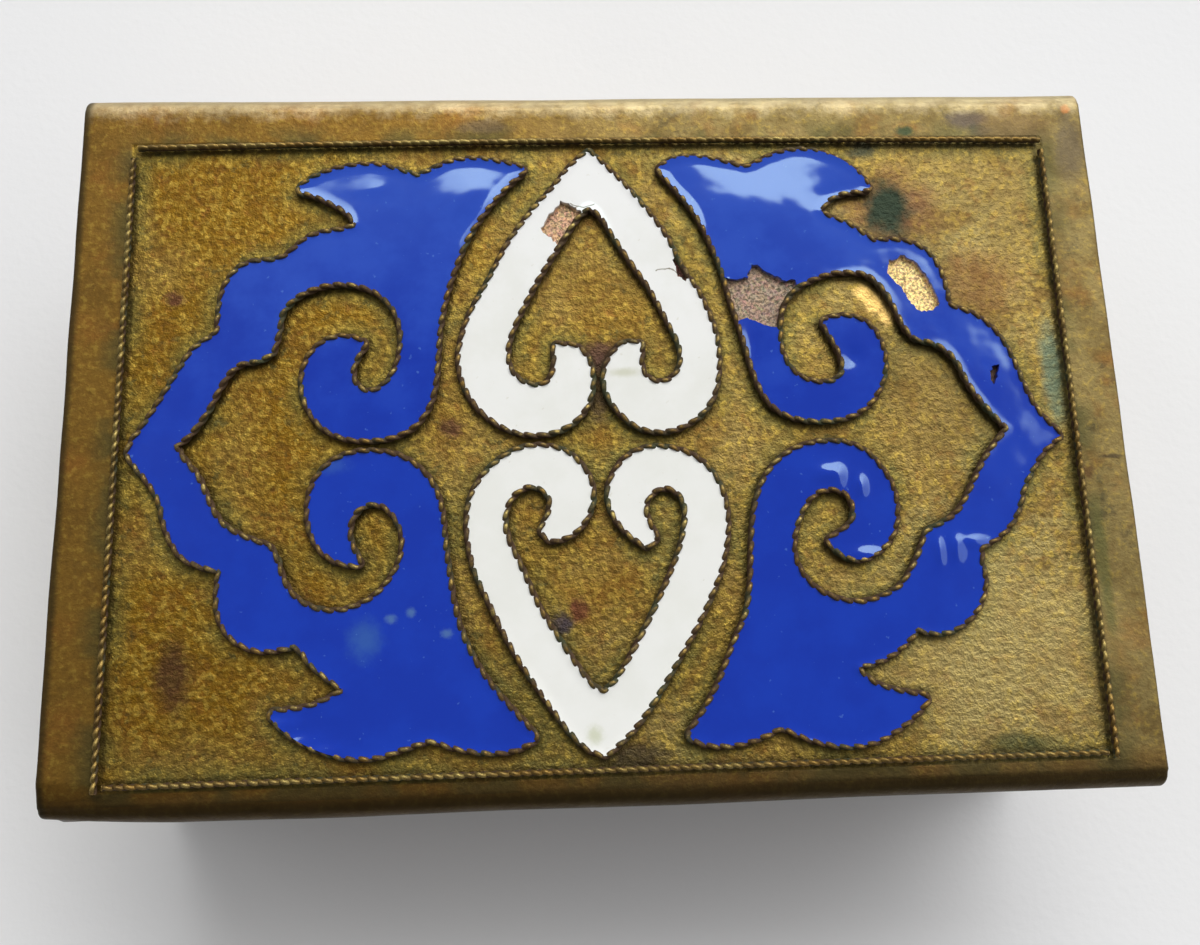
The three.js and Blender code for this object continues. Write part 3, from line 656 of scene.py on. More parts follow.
def enamel(name, light, dark, far, specks, gloss, stains, cracks=()):
    """Glossy fired glass, faintly uneven, with a painted sheen that makes it paler to its far side, bare and
    rough where it has chipped.
    """
    s = Shader(name)
    cloud = s.noise(0.35, detail=4, roughness=0.6)
    colour = s.mix(s.ramp(cloud, 0.35, 0.65), light, dark)
    # Painted sheen: paler towards the spine.
    towards_spine = s.plus(s.y, s.ramp(cloud, 0.3, 0.7, -3.0, 3.0))
    colour = s.mix(s.ramp(towards_spine, 0, 15, 0.0, 0.75), colour, far)
    colour = s.mix(s.ramp(s.noise(2.6, detail=2, shift=31), 0.70, 0.76, 0.0, 0.5), colour, specks)
    colour = s.stained_and_lit(colour, stains, soft=0.8)
    for start, end in cracks:
        colour = s.mix(s.times(s.line(start, end, 0.035), 0.8), colour, CRACK)
    bare = s.attribute("bare", "Alpha")
    crumb_shade = s.ramp(s.noise(6, detail=3, roughness=0.7), 0.35, 0.65, 0.35, 1.5)
    rough_metal = s.mix(1.0, s.attribute("bare", "Color"), crumb_shade, "MULTIPLY")
    rough_metal = s.mix(0.12, rough_metal, s.cells(5.5), "OVERLAY")
    colour = s.mix(bare, colour, rough_metal)
    relief = s.bump(s.noise(0.9, detail=1, shift=2), 0.006)
    relief = s.bump(s.times(s.noise(5, detail=4, roughness=0.7), bare), 0.12, relief)
    return s.finish(colour, s.ramp(bare, 0, 1, 0.06, 0.5), s.times(bare, 0.6), relief, IOR=gloss,
                    Specular_Tint=SHEEN)


def card(name, light, dark):
    """Grey-brown board with fibres and scuffs."""
    s = Shader(name)
    fibres = s.noise(3, detail=4, roughness=0.7, stretch=(0.25, 2, 2))
    patch = s.noise(0.12, detail=4, roughness=0.6, shift=9)
    colour = s.mix(s.ramp(patch, 0.35, 0.7), light, dark)
    colour = s.mix(s.ramp(fibres, 0.52, 0.7, 0.0, 0.35), colour, dark)
    relief = s.bump(fibres, 0.03)
    return s.finish(colour, 0.85, 0.0, relief)


def label_paper():
    """Red printed paper with two border lines and a lattice, and no words."""
    s = Shader("label_paper")
    high = cad_box("matchbox_label")[1]
    from_end = s.minus(high[0], s.math("ABSOLUTE", s.x))
    from_side = s.minus(high[1], s.math("ABSOLUTE", s.y))
    edge = s.math("MINIMUM", from_end, from_side)
    thick = s.ramp(s.math("ABSOLUTE", s.minus(edge, 1.6)), 0.25, 0.31, 1, 0)
    thin = s.ramp(s.math("ABSOLUTE", s.minus(edge, 2.4)), 0.08, 0.14, 1, 0)
    lattice = s.times(s.ramp(s.diagonals(s.x, s.y, LATTICE), 0.12, 0.18, 1, 0), s.ramp(edge, 3.2, 3.3))
    ink = s.math("MAXIMUM", s.math("MAXIMUM", thick, thin), lattice)
    paper = s.mix(s.ramp(s.noise(0.2, detail=4), 0.3, 0.7), (0.50, 0.10, 0.05), (0.40, 0.07, 0.04))
    colour = s.mix(ink, paper, (0.72, 0.58, 0.32))
    scuff = s.ramp(s.noise(1.2, detail=5, roughness=0.7, shift=3), 0.62, 0.72, 0.0, 0.6)
    colour = s.mix(scuff, colour, (0.66, 0.56, 0.42))
    return s.finish(colour, 0.55, 0.0, s.bump(s.noise(2.5, detail=3), 0.02))


def striker_paper():
    """Dark red-brown grit printed in small diamonds, with strokes worn through it."""
    s = Shader("striker_paper")
    diamonds = s.ramp(s.diagonals(s.x, s.z, DIAMOND), 0.08, 0.16)
    grit = s.noise(6, detail=3, roughness=0.7)
    strokes = s.noise(2.2, detail=4, roughness=0.6, stretch=(0.05, 1, 1), shift=6)
    colour = s.mix(s.ramp(grit, 0.35, 0.65), (0.075, 0.022, 0.016), (0.14, 0.05, 0.035))
    colour = s.mix(diamonds, (0.17, 0.085, 0.06), colour)
    colour = s.mix(s.ramp(strokes, 0.58, 0.70, 0, 0.45), colour, (0.26, 0.16, 0.11))
    return s.finish(colour, 0.9, 0.0, s.bump(s.times(grit, diamonds), 0.08))


def match_wood():
    """Pale aspen with grain along the stick."""
    s = Shader("match_wood")
    grain = s.noise(1.8, detail=4, roughness=0.65, stretch=(0.07, 1, 1))
    colour = s.mix(s.ramp(grain, 0.35, 0.65), (0.70, 0.52, 0.30), (0.55, 0.37, 0.18))
    return s.finish(colour, 0.7, 0.0, s.bump(grain, 0.06))


def match_compound():
    """Dull brown-red striking compound."""
    s = Shader("match_compound")
    lumps = s.noise(3, detail=4, roughness=0.6)
    colour = s.mix(s.ramp(lumps, 0.35, 0.65), (0.20, 0.035, 0.025), (0.12, 0.02, 0.016))
    return s.finish(colour, 0.62, 0.0, s.bump(lumps, 0.1))


# ---- the wires

wire_points = []


def strand_twist(length, lay, count, closed, seed):
    """The turn of the wire at each step, a little uneven along it."""
    turns = round(length / lay) if closed else length / lay
    share = np.arange(count) / (count if closed else count - 1)
    twist = 2 * math.pi * turns * share
    for k in range(4):
        twist += LAY_UNEVEN * math.cos(seed + k) * np.sin(2 * math.pi * (3 + 4 * k) * share + seed * k)
    return twist


def twisted_wire(node, path, closed, width, lay, wear, seed, relief=1.0):
    """Two strands twisted together along a path on the face, rubbed flatter where relief is below 1."""
    worn_from, clean = wear
    side_swing, up_swing = SIDE_SWING * relief, UP_SWING * relief
    side_radius, up_radius = SIDE_RADIUS + SIDE_SWING - side_swing, UP_RADIUS + UP_SWING - up_swing
    length = path_length(path, closed)
    count = round(length / lay) * LAY_STEPS
    path = evenly(path, count, closed)
    ahead, behind = np.roll(path, -1, axis=0), np.roll(path, 1, axis=0)
    if not closed:
        ahead[-1], behind[0] = path[-1], path[0]
    along = (ahead - behind) / np.linalg.norm(ahead - behind, axis=1)[:, None]
    side = np.stack([-along[:, 1], along[:, 0], np.zeros(count)], axis=1)
    up = np.array((0, 0, 1))
    middle = np.column_stack([path, np.full(count, WIRE_BASE + WIRE / 2)])
    twist = strand_twist(length, lay, count, closed, seed)
    around = 2 * math.pi * np.arange(STRAND_SIDES) / STRAND_SIDES
    lumps = gradient_noise(path[:, 0] / 0.8 + 5 * seed, path[:, 1] / 0.8, 15)
    fullness = (0.9 + 0.1 * np.clip(lumps, -1, 1))[:, None, None]
    points, crest, faces = [], [], []
    for strand in range(2):
        angle = twist + strand * math.pi
        core = middle + side_swing * width * np.cos(angle)[:, None] * side
        core += up_swing * WIRE * np.sin(angle)[:, None] * up
        ring = core[:, None] + fullness * side_radius * width * np.cos(around)[None, :, None] * side[:, None]
        ring += fullness * up_radius * WIRE * np.sin(around)[None, :, None] * up
        points.append(ring.reshape(-1, 3))
        share_up = (ring[:, :, 2].ravel() - WIRE_BASE) / WIRE
        crest.append(clean * np.clip((share_up - worn_from) / 0.2, 0, 1))
        start = strand * count * STRAND_SIDES
        faces += grid_faces(count, STRAND_SIDES, close_rows=closed, close_columns=True, start=start)
        if not closed:
            last = start + (count - 1) * STRAND_SIDES
            faces.append(tuple(range(start, start + STRAND_SIDES)))
            faces.append(tuple(reversed(range(last, last + STRAND_SIDES))))
    piece = add_piece(f"{node}_twist", np.vstack(points), faces, [WIRE_METAL], "case", [node])
    set_attribute(piece, "crest", np.concatenate(crest))
    wire_points.extend(path)


def border_wires():
    """The four straight wires of the frame, with the slight bow of the one by the spine."""
    for seed, (name, axis) in enumerate((("left", 1), ("right", 1), ("open_side", 0), ("spine_side", 0))):
        node = f"border_wire_{name}"
        low, high = cad_box(node)
        share = np.linspace(0, 1, 400)
        path = np.zeros((len(share), 2))
        path[:, axis] = low[axis] + (high[axis] - low[axis]) * share
        bow = high[1 - axis] - low[1 - axis] - WIRE
        path[:, 1 - axis] = low[1 - axis] + WIRE / 2 + bow * (1 - (2 * share - 1) ** 2)
        relief = RUBBED_RELIEF if name == "spine_side" else 1.0
        twisted_wire(node, path, False, BORDER_STRANDS, BORDER_LAY, BORDER_WEAR, seed, relief)


# ---- the enamel

BARE_GREY = (0.36, 0.25, 0.17)
BARE_GOLD = (0.95, 0.66, 0.28)
BARE_COPPER = (0.58, 0.37, 0.22)
BARE_BROWN = (0.10, 0.05, 0.03)
BARE_RED = (0.26, 0.12, 0.09)

# Where enamel has broken away: outline and the colour of what shows there
CHIPS = {
    "right_scrolls": [
        ([(6.4, 8.0), (7.6, 8.0), (8.1, 8.16), (8.55, 8.86), (9.3, 8.4), (10.1, 7.8), (10.9, 7.9),
          (10.6, 5.4), (9.6, 5.2), (9.3, 5.16), (8.4, 5.6), (7.8, 5.66), (6.9, 5.4)], BARE_GREY),
        ([(15.9, 8.3), (16.1, 8.95), (16.9, 9.15), (17.6, 8.75), (18.1, 8.0), (18.45, 7.2), (18.7, 6.3),
          (18.2, 5.9), (17.4, 6.0), (16.8, 6.9)], BARE_GOLD),
        ([(21.1, 2.75), (21.6, 2.85), (21.4, 2.2), (21.2, 1.65), (21.0, 2.1)], BARE_BROWN),
    ],
    "upper_heart": [
        ([(-1.9, 12.65), (-1.3, 12.45), (-0.7, 11.9), (-1.0, 10.9), (-1.8, 10.0), (-2.4, 10.3), (-3.05, 11.1),
          (-2.6, 11.9)], BARE_COPPER),
        ([(4.1, 9.15), (4.3, 8.7), (4.3, 8.25), (4.8, 7.9), (5.2, 8.4), (4.6, 9.3)], BARE_RED),
    ],
}

# Slow rises and dips of the glass, which catch the window: middle, half size, height
SWELLS = [
    ((8.8, 12.5), (2.7, 1.4), 0.08),
    ((14.6, 15.2), (1.8, 1.6), 0.10),
    ((5.0, 14.9), (0.8, 0.9), 0.06),
    ((13.6, 12.6), (1.0, 0.45), -0.06),
    ((-12.3, 13.5), (0.45, 0.25), 0.02),
    ((-6.7, 12.9), (1.1, 0.9), 0.055),
    ((11.7, -2.95), (0.5, 0.3), 0.09),
    ((12.3, -3.2), (0.25, 0.45), 0.08),
    ((13.45, -3.7), (0.22, 0.4), 0.10),
    ((13.5, -7.35), (0.7, 0.3), 0.12),
    ((17.3, -7.2), (0.2, 0.45), 0.09),
    ((18.2, -7.1), (0.25, 0.45), 0.09),
    ((19.1, -6.75), (0.5, 0.22), 0.07),
    ((8.3, 4.0), (0.4, 1.6), -0.07),
    ((13.6, 3.4), (0.4, 0.4), -0.06),
    ((-16.2, -14.95), (0.5, 0.3), 0.10),
    ((-15.2, -15.75), (0.6, 0.28), 0.09),
    ((-14.2, -16.3), (0.7, 0.28), 0.11),
]


def enamel_height(points, edge_distance):
    """Height of whole enamel above its base: a meniscus at the wires and slow waves between."""
    x, y = points[:, 0], points[:, 1]
    rise = MENISCUS * np.clip(1 - edge_distance / MENISCUS_WIDTH, 0, 1) ** 2
    rise *= np.clip(0.65 + 0.6 * gradient_noise(x / 2.3, y / 2.3, 7), 0.1, 1)
    rise *= 0.2 + 0.8 * np.clip((np.abs(y) - 9) / 4, 0, 1)
    waves = GLASS_WAVE * gradient_noise(x / 3.1, y / 3.1, 3)
    waves += GLASS_RIPPLE * gradient_noise(x / 1.1, y / 1.1, 4)
    for (cx, cy), (rx, ry), height in SWELLS:
        waves += height * np.exp(-0.5 * (((x - cx) / rx) ** 2 + ((y - cy) / ry) ** 2))
    return ENAMEL_MIDDLE + rise + waves


def ragged(outline, step, depth, seed):
    """A broken edge: an outline with small random nicks."""
    outline = np.array(outline, float)
    points = evenly(outline, round(path_length(outline, True) / step), True)
    shake = np.random.RandomState(seed).normal(0, depth, points.shape)
    return points + shake


def shrunk(outline, distance):
    """A closed outline moved in towards its own middle."""
    centre = outline.mean(axis=0)
    away = outline - centre
    reach = np.linalg.norm(away, axis=1)[:, None]
    return centre + away * (reach - distance) / reach


def hex_points(low, high, step):
    """Points of a triangular lattice over a rectangle."""
    rows = np.arange(low[1], high[1], step * math.sqrt(3) / 2)
    lines = []
    for i, y in enumerate(rows):
        xs = np.arange(low[0] + (i % 2) * step / 2, high[0], step)
        lines.append(np.column_stack([xs, np.full(len(xs), y)]))
    return np.vstack(lines)


def filled(rings, step):
    """Points and triangles over the inside of the first ring, with edges along every ring."""
    fixed, rim = np.vstack(rings), rings[0]
    lattice = hex_points(rim.min(axis=0), rim.max(axis=0), step)
    lattice = lattice[inside(lattice, rim)]
    lattice = lattice[distances(nearest(fixed), lattice) > step * 0.5]
    edges, start = [], 0
    for ring in rings:
        edges += [(start + k, start + (k + 1) % len(ring)) for k in range(len(ring))]
        start += len(ring)
    made = geometry.delaunay_2d_cdt([Vector(p) for p in (*fixed, *lattice)], edges, [], 0, 1e-7)
    points = np.array([tuple(p) for p in made[0]])
    triangles = np.array(made[2])
    return points, triangles[inside(points[triangles].mean(axis=1), rim)]


def enamel_piece(cell, outline, material, seed):
    """The enamel of one cell, with its chips."""
    rim = beside(outline, ENAMEL_REACH)
    rim = evenly(rim, round(path_length(rim, True) / OUTLINE_STEP), True)
    rings, chips = [rim], []
    for i, (chip, colour) in enumerate(CHIPS.get(cell, ())):
        edge = ragged(chip, CHIP_STEP, CHIP_NICK, seed + i)
        floor = shrunk(edge, CHIP_WALL)
        rings += [edge, floor]
        chips.append((edge, floor, colour))
    points, triangles = filled(rings, ENAMEL_STEP)
    heights = enamel_height(points, distances(nearest(rim), points))
    rough = CHIP_FLOOR * (1 + gradient_noise(points[:, 0] / 0.3, points[:, 1] / 0.3, 9))
    bare = np.zeros((len(points), 4))
    for edge, floor, colour in chips:
        sunk = inside(points, floor * 0.998 + floor.mean(axis=0) * 0.002)
        sunk |= distances(nearest(floor), points) < 1e-4
        heights[sunk] = rough[sunk]
        bare[sunk] = (*colour, 1)
        bare[~sunk & (distances(nearest(edge), points) < 1e-4)] = (*colour, 0)
    count = len(points)
    top = np.column_stack([points, WIRE_BASE + heights])
    bottom = np.column_stack([points, np.full(count, WIRE_BASE)])
    sides = dict.fromkeys(side for a, b, c in triangles for side in ((a, b), (b, c), (c, a)))
    faces = [tuple(t) for t in triangles]
    faces += [(b, a, a + count, b + count) for a, b in sides if (b, a) not in sides]
    faces += [(a + count, c + count, b + count) for a, b, c in triangles]
    piece = add_piece(f"enamel_fill_{cell}", np.vstack([top, bottom]), faces, [material], "case",
                      [f"enamel_{cell}"], crease=50)
    set_attribute(piece, "bare", np.vstack([bare, bare]))


# ---- the case


def arc_steps(centre, radius, start, end, count):
    """Points round an arc in the (y, z) plane, angles in degrees."""
    angles = np.radians(np.linspace(start, end, count))
    return [(centre[0] + radius * math.cos(a), centre[1] + radius * math.sin(a)) for a in angles]


def line_steps(start, end, count):
    """Points along a straight line, without its two ends."""
    shares = np.linspace(0, 1, count + 2)[1:-1]
    return [tuple(np.array(start) + (np.array(end) - np.array(start)) * share) for share in shares]


def wrapped(radius, bends, sides):
    """Points round the sheet from its upper lip to its lower one, at one radius of its four bends."""
    y, z = CASE_HIGH[1] - BEND_RADIUS, FACE - BEND_RADIUS
    points = arc_steps((-y, z), radius, 180, 90, bends[0])
    points += line_steps((-y, z + radius), (y, z + radius), sides[0])
    points += arc_steps((y, z), radius, 90, 0, bends[0])
    points += line_steps((y + radius, z), (y + radius, BEND_RADIUS), sides[1])
    points += arc_steps((y, BEND_RADIUS), radius, 0, -90, bends[1])
    points += line_steps((y, BEND_RADIUS - radius), (-y, BEND_RADIUS - radius), sides[2])
    points += arc_steps((-y, BEND_RADIUS), radius, -90, -180, bends[1])
    return points


def case_section():
    """The closed (y, z) section of the folded sheet, outside from lip to lip and then inside back,
    and how many of its points are outside."""
    half = CASE_HIGH[1]
    upper, lower = FACE - LIP_HEIGHT + LIP_ROUND, LIP_HEIGHT - LIP_ROUND
    face_count = round(2 * (half - BEND_RADIUS) / FACE_STEP)
    outside = [(-half, upper), (-half, FACE - BEND_RADIUS - 0.6)]
    outside += wrapped(BEND_RADIUS, (10, 8), (face_count, 10, 14))
    outside += [(-half, lower)]
    edge = arc_steps((-half + SHEET / 2, lower), SHEET / 2, 180, 0, 5)[1:]
    inner = wrapped(BEND_RADIUS - SHEET, (5, 5), (8, 5, 8))
    back = [(-half + SHEET, LIP_HEIGHT - 0.4), *inner[::-1], (-half + SHEET, upper)]
    lip = arc_steps((-half + SHEET / 2, upper), SHEET / 2, 0, -180, 5)[1:-1]
    return np.array(outside + edge + back + lip), len(outside)


def case_skin():
    """The folded sheet: grained inside the wire frame, worn round at its ends and pressed in at one."""
    section, outside_count = case_section()
    run = np.roll(section, -1, axis=0) - np.roll(section, 1, axis=0)
    outward = np.column_stack([-run[:, 1], run[:, 0]]) / np.linalg.norm(run, axis=1)[:, None]
    half = CASE_HIGH[0]
    inset = np.array((0.0, 0.03, 0.08, 0.16))
    middle = np.linspace(-half + 0.35, half - 0.35, round(2 * half / FACE_STEP))
    columns = np.concatenate([-half + inset, middle, half - inset[::-1]])
    rows, count = len(section), len(columns)
    x = np.tile(columns, rows)
    y, z = np.repeat(section, count, axis=0).T
    outward_y, outward_z = np.repeat(outward, count, axis=0).T
    is_outside = np.repeat(np.arange(rows) < outside_count, count)
    on_face = z > FACE - 0.01
    left, right = cad_box("border_wire_left")[0][0], cad_box("border_wire_right")[1][0]
    near, far = cad_box("border_wire_open_side")[0][1], cad_box("border_wire_spine_side")[1][1]
    framed = on_face & (x > left) & (x < right) & (y > near) & (y < far)
    grain = 0.4 * gradient_noise(x / 0.55, y / 0.42, 1) + 0.6 * gradient_noise(x / 0.36 + 7, y / 0.31, 2)
    grain = 0.5 + 0.5 * np.clip(grain, -1, 1)
    brushed = 0.5 + 0.5 * np.clip(gradient_noise(x / 1.6, (y + z) / 0.5, 5), -1, 1)
    relief = np.where(framed, GRAIN_HEIGHT * (grain - 1), BORDER_GRAIN_HEIGHT * (brushed - 1))
    wire_distance = np.full(len(x), 9.0)
    wire_distance[on_face] = distances(nearest(np.array(wire_points)), zip(x[on_face], y[on_face]))
    dents = np.where(on_face, 0.0, DENT_DEPTH * (gradient_noise(x / 9, (y + 0.7 * z) / 9, 6) - 1))
    end_distance = half - np.abs(x)
    rounding = -END_WEAR * np.clip(1 - end_distance / END_WEAR_LENGTH, 0, 1) ** 2
    pressed = PRESSED_DEPTH * np.clip(1 - (x + half) / PRESSED_LENGTH, 0, 1) ** 1.3
    pressed *= np.clip((y + CASE_HIGH[1] - 2.2) / -1.4, 0, 1)
    pressed *= np.clip((z - (FACE - LIP_HEIGHT + 0.3)) / 1.2, 0, 1)
    move = np.where(is_outside, relief + dents + rounding - pressed, 0.0)
    uneven = CUT_UNEVEN * (0.5 + 0.5 * gradient_noise((y + 1.3 * z) / 4.5, np.sign(x) * 3.3, 8))
    cut_x = x - np.sign(x) * uneven * np.clip(1 - end_distance / CUT_UNEVEN_LENGTH, 0, 1)
    points = np.column_stack([cut_x, y + outward_y * move, z + outward_z * move])
    faces = [face[::-1] for face in grid_faces(rows, count, close_rows=True)]
    faces += end_caps(section, rows, count)
    piece = add_piece("case_sheet", points, faces, [CASE_METAL], "case", ["case_shell"], 55)
    set_attribute(piece, "grain", grain)
    set_attribute(piece, "wire_distance", wire_distance)
    set_attribute(piece, "granular", np.where(framed, 1.0, 0.3))


def end_caps(section, rows, count):
    """The cut ends of the sheet, as triangles between the section's points."""
    edges = [(i, (i + 1) % rows) for i in range(rows)]
    made = geometry.delaunay_2d_cdt([Vector(p) for p in section], edges, [], 0, 1e-9)
    triangles = np.array(made[2])
    points = np.array([tuple(p) for p in made[0]])
    triangles = triangles[inside(points[triangles].mean(axis=1), section)]
    origin = [ids[0] for ids in made[3]]
    faces = []
    for a, b, c in triangles:
        a, b, c = origin[a], origin[b], origin[c]
        faces.append((a * count, c * count, b * count))
        faces.append((a * count + count - 1, b * count + count - 1, c * count + count - 1))
    return faces


# ---- the matchbox


def card_ring(low, high, inset):
    """A rounded rectangle of (y, z) points, so far inside a box."""
    y0, y1, z0, z1 = low[1] + inset, high[1] - inset, low[2] + inset, high[2] - inset
    r = max(CARD_CORNER - inset, 0.05)
    corners = (
        ((y1 - r, z1 - r), 90, (y1, z0 + r)),
        ((y1 - r, z0 + r), 0, (y0 + r, z0)),
        ((y0 + r, z0 + r), -90, (y0, z1 - r)),
        ((y0 + r, z1 - r), -180, (y1 - r, z1)),
    )
    ring = []
    for middle, start, ahead in corners:
        ring += arc_steps(middle, r, start, start - 90, 5)
        ring += line_steps(ring[-1], ahead, 6)
    return np.array(ring)


def sleeve():
    """The card sleeve: a tube open at its two X ends, its long edges rounded and its sides a little bowed."""
    low, high = cad_box("matchbox_sleeve")
    centre = (low[1:] + high[1:]) / 2
    columns = np.linspace(low[0], high[0], 30)
    rings = [card_ring(low, high, inset) for inset in (0.0, BOARD)]
    points = []
    for ring in rings:
        for x in columns:
            sag = SLEEVE_SAG * (1 - (2 * (x - low[0]) / (high[0] - low[0]) - 1) ** 2)
            moved = centre + (ring - centre) * (1 - sag / np.abs(ring - centre).max())
            points += [(x, y, z) for y, z in moved]
    count, sides = len(columns), len(rings[0])
    inner = count * sides
    faces = grid_faces(count, sides, close_columns=True)
    faces += [face[::-1] for face in grid_faces(count, sides, close_columns=True, start=inner)]
    for a in range(sides):
        b = (a + 1) % sides
        faces.append((a, a + inner, b + inner, b))
        faces.append((inner - sides + a, inner - sides + b, 2 * inner - sides + b, 2 * inner - sides + a))
    add_piece("matchbox_sleeve_card", points, faces, [SLEEVE_CARD], "matchbox", ["matchbox_sleeve"],
              CARD_CREASE)


def thin_strip(node, name, material, step):
    """A thin sheet glued on the card: a closed slab of a fine grid, its outer side a little wavy."""
    low, high = cad_box(node)
    thin = int(np.argmin(high - low))
    wide = [axis for axis in range(3) if axis != thin]
    counts = [max(2, round((high[a] - low[a]) / step)) for a in wide]
    u, v = np.meshgrid(*(np.linspace(low[a], high[a], n) for a, n in zip(wide, counts)), indexing="ij")
    wave = 0.12 * (high[thin] - low[thin]) * (gradient_noise(u / 5, v / 5, 12) - 1)
    points = np.zeros((2, *counts, 3))
    points[..., wide[0]] = u
    points[..., wide[1]] = v
    points[0, ..., thin] = low[thin] - (wave if high[thin] < 0 else 0)
    points[1, ..., thin] = high[thin] + (wave if high[thin] > 0 else 0)
    index = np.arange(counts[0] * counts[1]).reshape(counts)
    rim = [*index[:-1, 0], *index[-1, :-1], *index[:0:-1, -1], *index[0, :0:-1]]
    faces = grid_faces(*counts)
    faces += [tuple(i + index.size for i in face[::-1]) for face in faces]
    faces += [(b, a, a + index.size, b + index.size) for a, b in zip(rim, rim[1:] + rim[:1])]
    if thin == 1:
        faces = [face[::-1] for face in faces]
    add_piece(name, points.reshape(-1, 3), faces, [material], "matchbox", [node], CARD_CREASE)


def tray():
    """The open card tray, with folded corners and soft edges."""
    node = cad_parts["matchbox_tray"]
    mesh = node.data.copy()
    piece = placed("matchbox_tray_card", mesh)
    weld = piece.modifiers.new("weld", "WELD")
    weld.merge_threshold = 1e-6
    bevel = piece.modifiers.new("bevel", "BEVEL")
    bevel.width = CARD_BEVEL * MM
    bevel.segments = 2
    bevel.limit_method = "ANGLE"
    mesh.materials.clear()
    mesh.materials.append(TRAY_CARD)
    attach(piece, "tray")
    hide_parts("matchbox_tray")


def loft_faces(rings, start):
    """The faces of a form closed at both ends, from its rings of points."""
    sides = len(rings[0])
    last = start + (len(rings) - 1) * sides
    faces = grid_faces(len(rings), sides, close_columns=True, start=start)
    faces += [tuple(reversed(range(start, start + sides))), tuple(range(last, last + sides))]
    return [face[::-1] for face in faces]


def match(number):
    """One match: a slightly crooked square stick with a rounded head."""
    node = f"match_{number:02d}"
    low, high = cad_box(node)
    middle = (low + high) / 2
    random = np.random.RandomState(number)
    turn = random.uniform(0, 2 * math.pi)
    bow = random.uniform(-STICK_BOW, STICK_BOW)
    stick = []
    for x in np.linspace(low[0], high[0] - HEAD_LENGTH / 2, 14):
        y = middle[1] + bow * math.sin(math.pi * (x - low[0]) / (high[0] - low[0]))
        a = STICK / 2 * random.uniform(0.94, 1.0)
        b = a - STICK_CUT
        corners = ((a, b), (b, a), (-b, a), (-a, b), (-a, -b), (-b, -a), (b, -a), (a, -b))
        stick.append([(x, y + dy, middle[2] + dz) for dy, dz in corners])
    head = []
    for angle in np.linspace(0.12, math.pi - 0.05, 10):
        x = high[0] - HEAD_LENGTH * (0.5 + 0.5 * math.cos(angle))
        reach = (high[1] - low[1]) / 2 * math.sin(angle) ** 0.7 * (0.98 - 0.12 * math.cos(angle - 0.9))
        around = turn + 2 * math.pi * np.arange(14) / 14
        reach = reach * (1 - 0.025 * (1 + np.sin(3 * around + number)))
        y, z = middle[1] + reach * np.cos(around), middle[2] + reach * np.sin(around)
        head.append([(x, *place) for place in zip(y, z)])
    points = [point for ring in stick + head for point in ring]
    stick_faces = loft_faces(stick, 0)
    head_faces = loft_faces(head, len(stick) * len(stick[0]))
    paint = [0] * len(stick_faces) + [1] * len(head_faces)
    add_piece(f"{node}_stick", points, stick_faces + head_faces, [STICK_WOOD, HEAD_PAINT], "tray",
              [node], 35, paint)


# ---- floor, light and sky


def make_floor():
    """A plain pale sheet under the holder."""
    s = Shader("floor_paper")
    colour = s.mix(s.ramp(s.noise(0.02, detail=3), 0.3, 0.7), (0.80, 0.80, 0.80), (0.77, 0.77, 0.775))
    mesh = bpy.data.meshes.new("floor")
    corners = ((-1, -1), (1, -1), (1, 1), (-1, 1))
    mesh.from_pydata([(x * FLOOR * MM, y * FLOOR * MM, -0.02 * MM) for x, y in corners], [], [(0, 1, 2, 3)])
    mesh.materials.append(s.finish(colour, 0.8, 0.0, s.bump(s.noise(1.5, detail=3), 0.02)))
    floor = placed("floor", mesh)


# The window as seen from the holder: heights as sines, bearings from +Y as radians, each edge from
# its dark side to its bright one, and how bright it and the room are
WINDOW_SILL = (0.40, 0.50)
WINDOW_HEAD = (0.877, 0.863)
WINDOW_LEFT = (-0.62, -0.12)
WINDOW_RIGHT = (1.45, 0.5)
WINDOW_LIGHT = 5.0
ROOM_LIGHT = 0.45
CEILING_SHADE = 0.35
WALL_LIGHT = 0.5
LAMP_ELEVATION = 42
LAMP_REACH = 420
LAMP_WIDTH = 400
LAMP_HEIGHT = 300


def area_light(name, azimuth, power):
    """A soft lamp towards the holder, from an azimuth in degrees clockwise from +Y."""
    turn, rise = math.radians(azimuth), math.radians(LAMP_ELEVATION)
    direction = Vector((math.sin(turn) * math.cos(rise), math.cos(turn) * math.cos(rise), math.sin(rise)))
    data = bpy.data.lights.new(name, "AREA")
    data.shape = "RECTANGLE"
    data.size = LAMP_WIDTH * MM
    data.size_y = LAMP_HEIGHT * MM
    data.energy = power
    lamp = placed(name, data)
    lamp.location = direction * LAMP_REACH * MM
    lamp.rotation_euler = direction.to_track_quat("Z", "Y").to_euler()


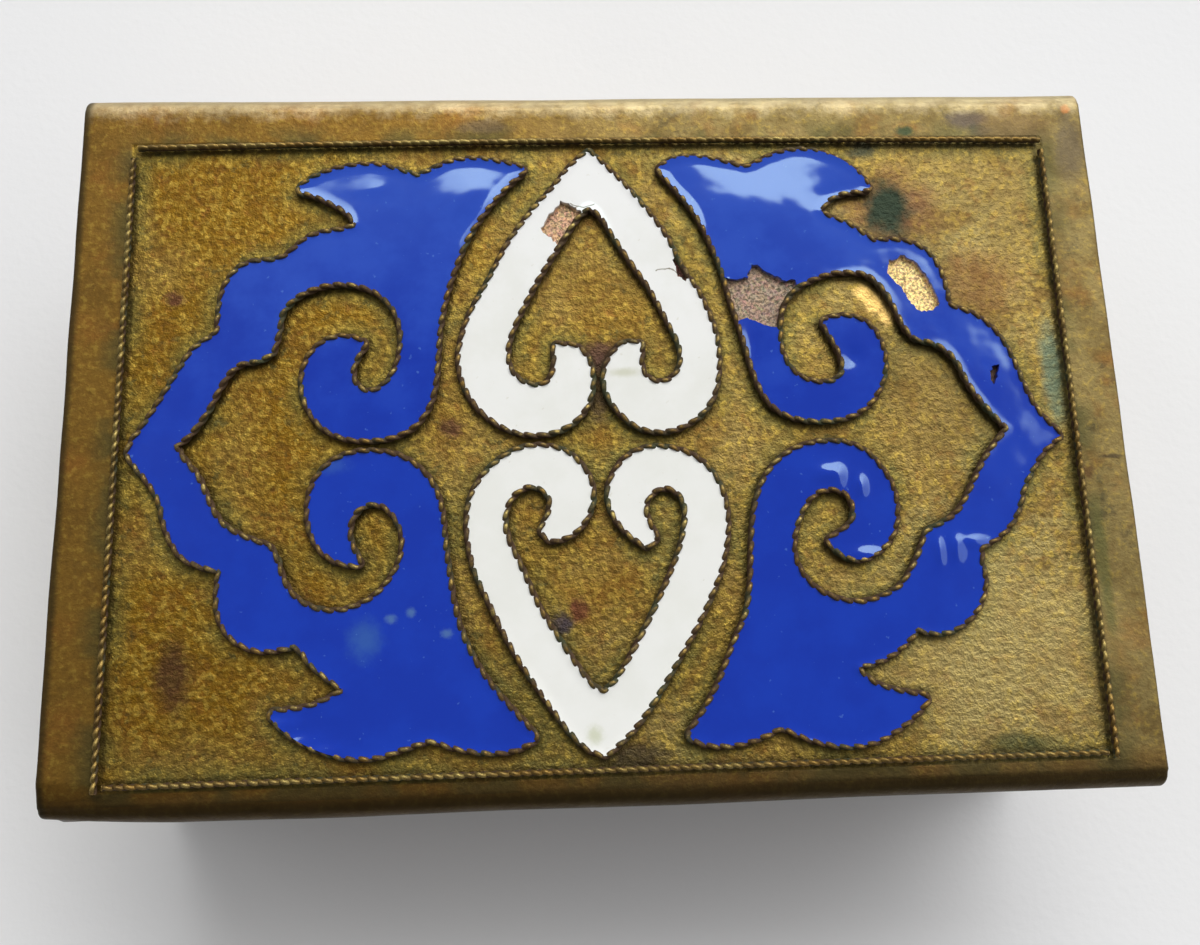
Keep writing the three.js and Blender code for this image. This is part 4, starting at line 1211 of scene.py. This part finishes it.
def make_sky():
    """A wide bright window beyond the spine, and dim light from the rest of the room."""
    world = bpy.data.worlds.new("studio")
    w = Nodes(world)
    east, north, up = w.node("SeparateXYZ", w.node("TexCoord").outputs["Generated"]).outputs
    bearing = w.math("ARCTAN2", east, north)
    window = w.times(w.ramp(up, *WINDOW_SILL), w.ramp(up, *WINDOW_HEAD))
    window = w.times(window, w.ramp(bearing, *WINDOW_LEFT))
    window = w.times(window, w.ramp(bearing, *WINDOW_RIGHT))
    lean = w.plus(w.times(north, 0.45), w.times(up, 0.85))
    room = w.ramp(lean, -0.2, 1.1, 0.0, ROOM_LIGHT)
    room = w.minus(room, w.times(room, w.ramp(up, 0.84, 0.97, 0.0, CEILING_SHADE)))
    room = w.math("MAXIMUM", room, w.ramp(up, 0.26, 0.14, 0.0, WALL_LIGHT))
    back = w.node("Background", w.plus(w.times(window, WINDOW_LIGHT), room))
    w.node("OutputWorld", back.outputs[0])
    bpy.context.scene.world = world


# ---- making it all

CASE_METAL = case_brass()
WIRE_METAL = wire_brass()
BLUE = enamel("enamel_blue", **BLUE_GLASS)
WHITE = enamel("enamel_white", **WHITE_GLASS)
SLEEVE_CARD = card("sleeve_card", (0.50, 0.40, 0.26), (0.40, 0.31, 0.19))
TRAY_CARD = card("tray_card", (0.50, 0.43, 0.31), (0.42, 0.35, 0.24))
LABEL = label_paper()
STRIKER = striker_paper()
STICK_WOOD = match_wood()
HEAD_PAINT = match_compound()

make_camera()
make_floor()
area_light("side_window", 85, 0.4)
area_light("left_window", -75, 0.22)
make_sky()

border_wires()
for cell_index, cell in enumerate(("left_scrolls", "right_scrolls", "upper_heart", "lower_heart")):
    cell_outline = smooth_outline(top_outline(f"enamel_{cell}"), OUTLINE_STEP)
    wire_path = beside(cell_outline, ENAMEL_GAP + CELL_WIRE / 2)
    twisted_wire(f"cell_wire_{cell}", wire_path, True, CELL_STRANDS, CELL_LAY, CELL_WEAR, 10 + cell_index)
    glass, glass_slot = (BLUE, "enamel_blue") if "scrolls" in cell else (WHITE, "enamel_white")
    enamel_piece(cell, cell_outline, glass, 20 + 5 * cell_index)
case_skin()

sleeve()
thin_strip("matchbox_label", "matchbox_label_print", LABEL, 1.0)
for strip_side in ("open_side", "spine_side"):
    thin_strip(f"striker_{strip_side}", f"striker_strip_{strip_side}", STRIKER, 0.8)
tray()
for match_number in range(1, MATCHES + 1):
    match(match_number)

bpy.context.scene.view_settings.view_transform = "Standard"

bpy.context.view_layer.update()
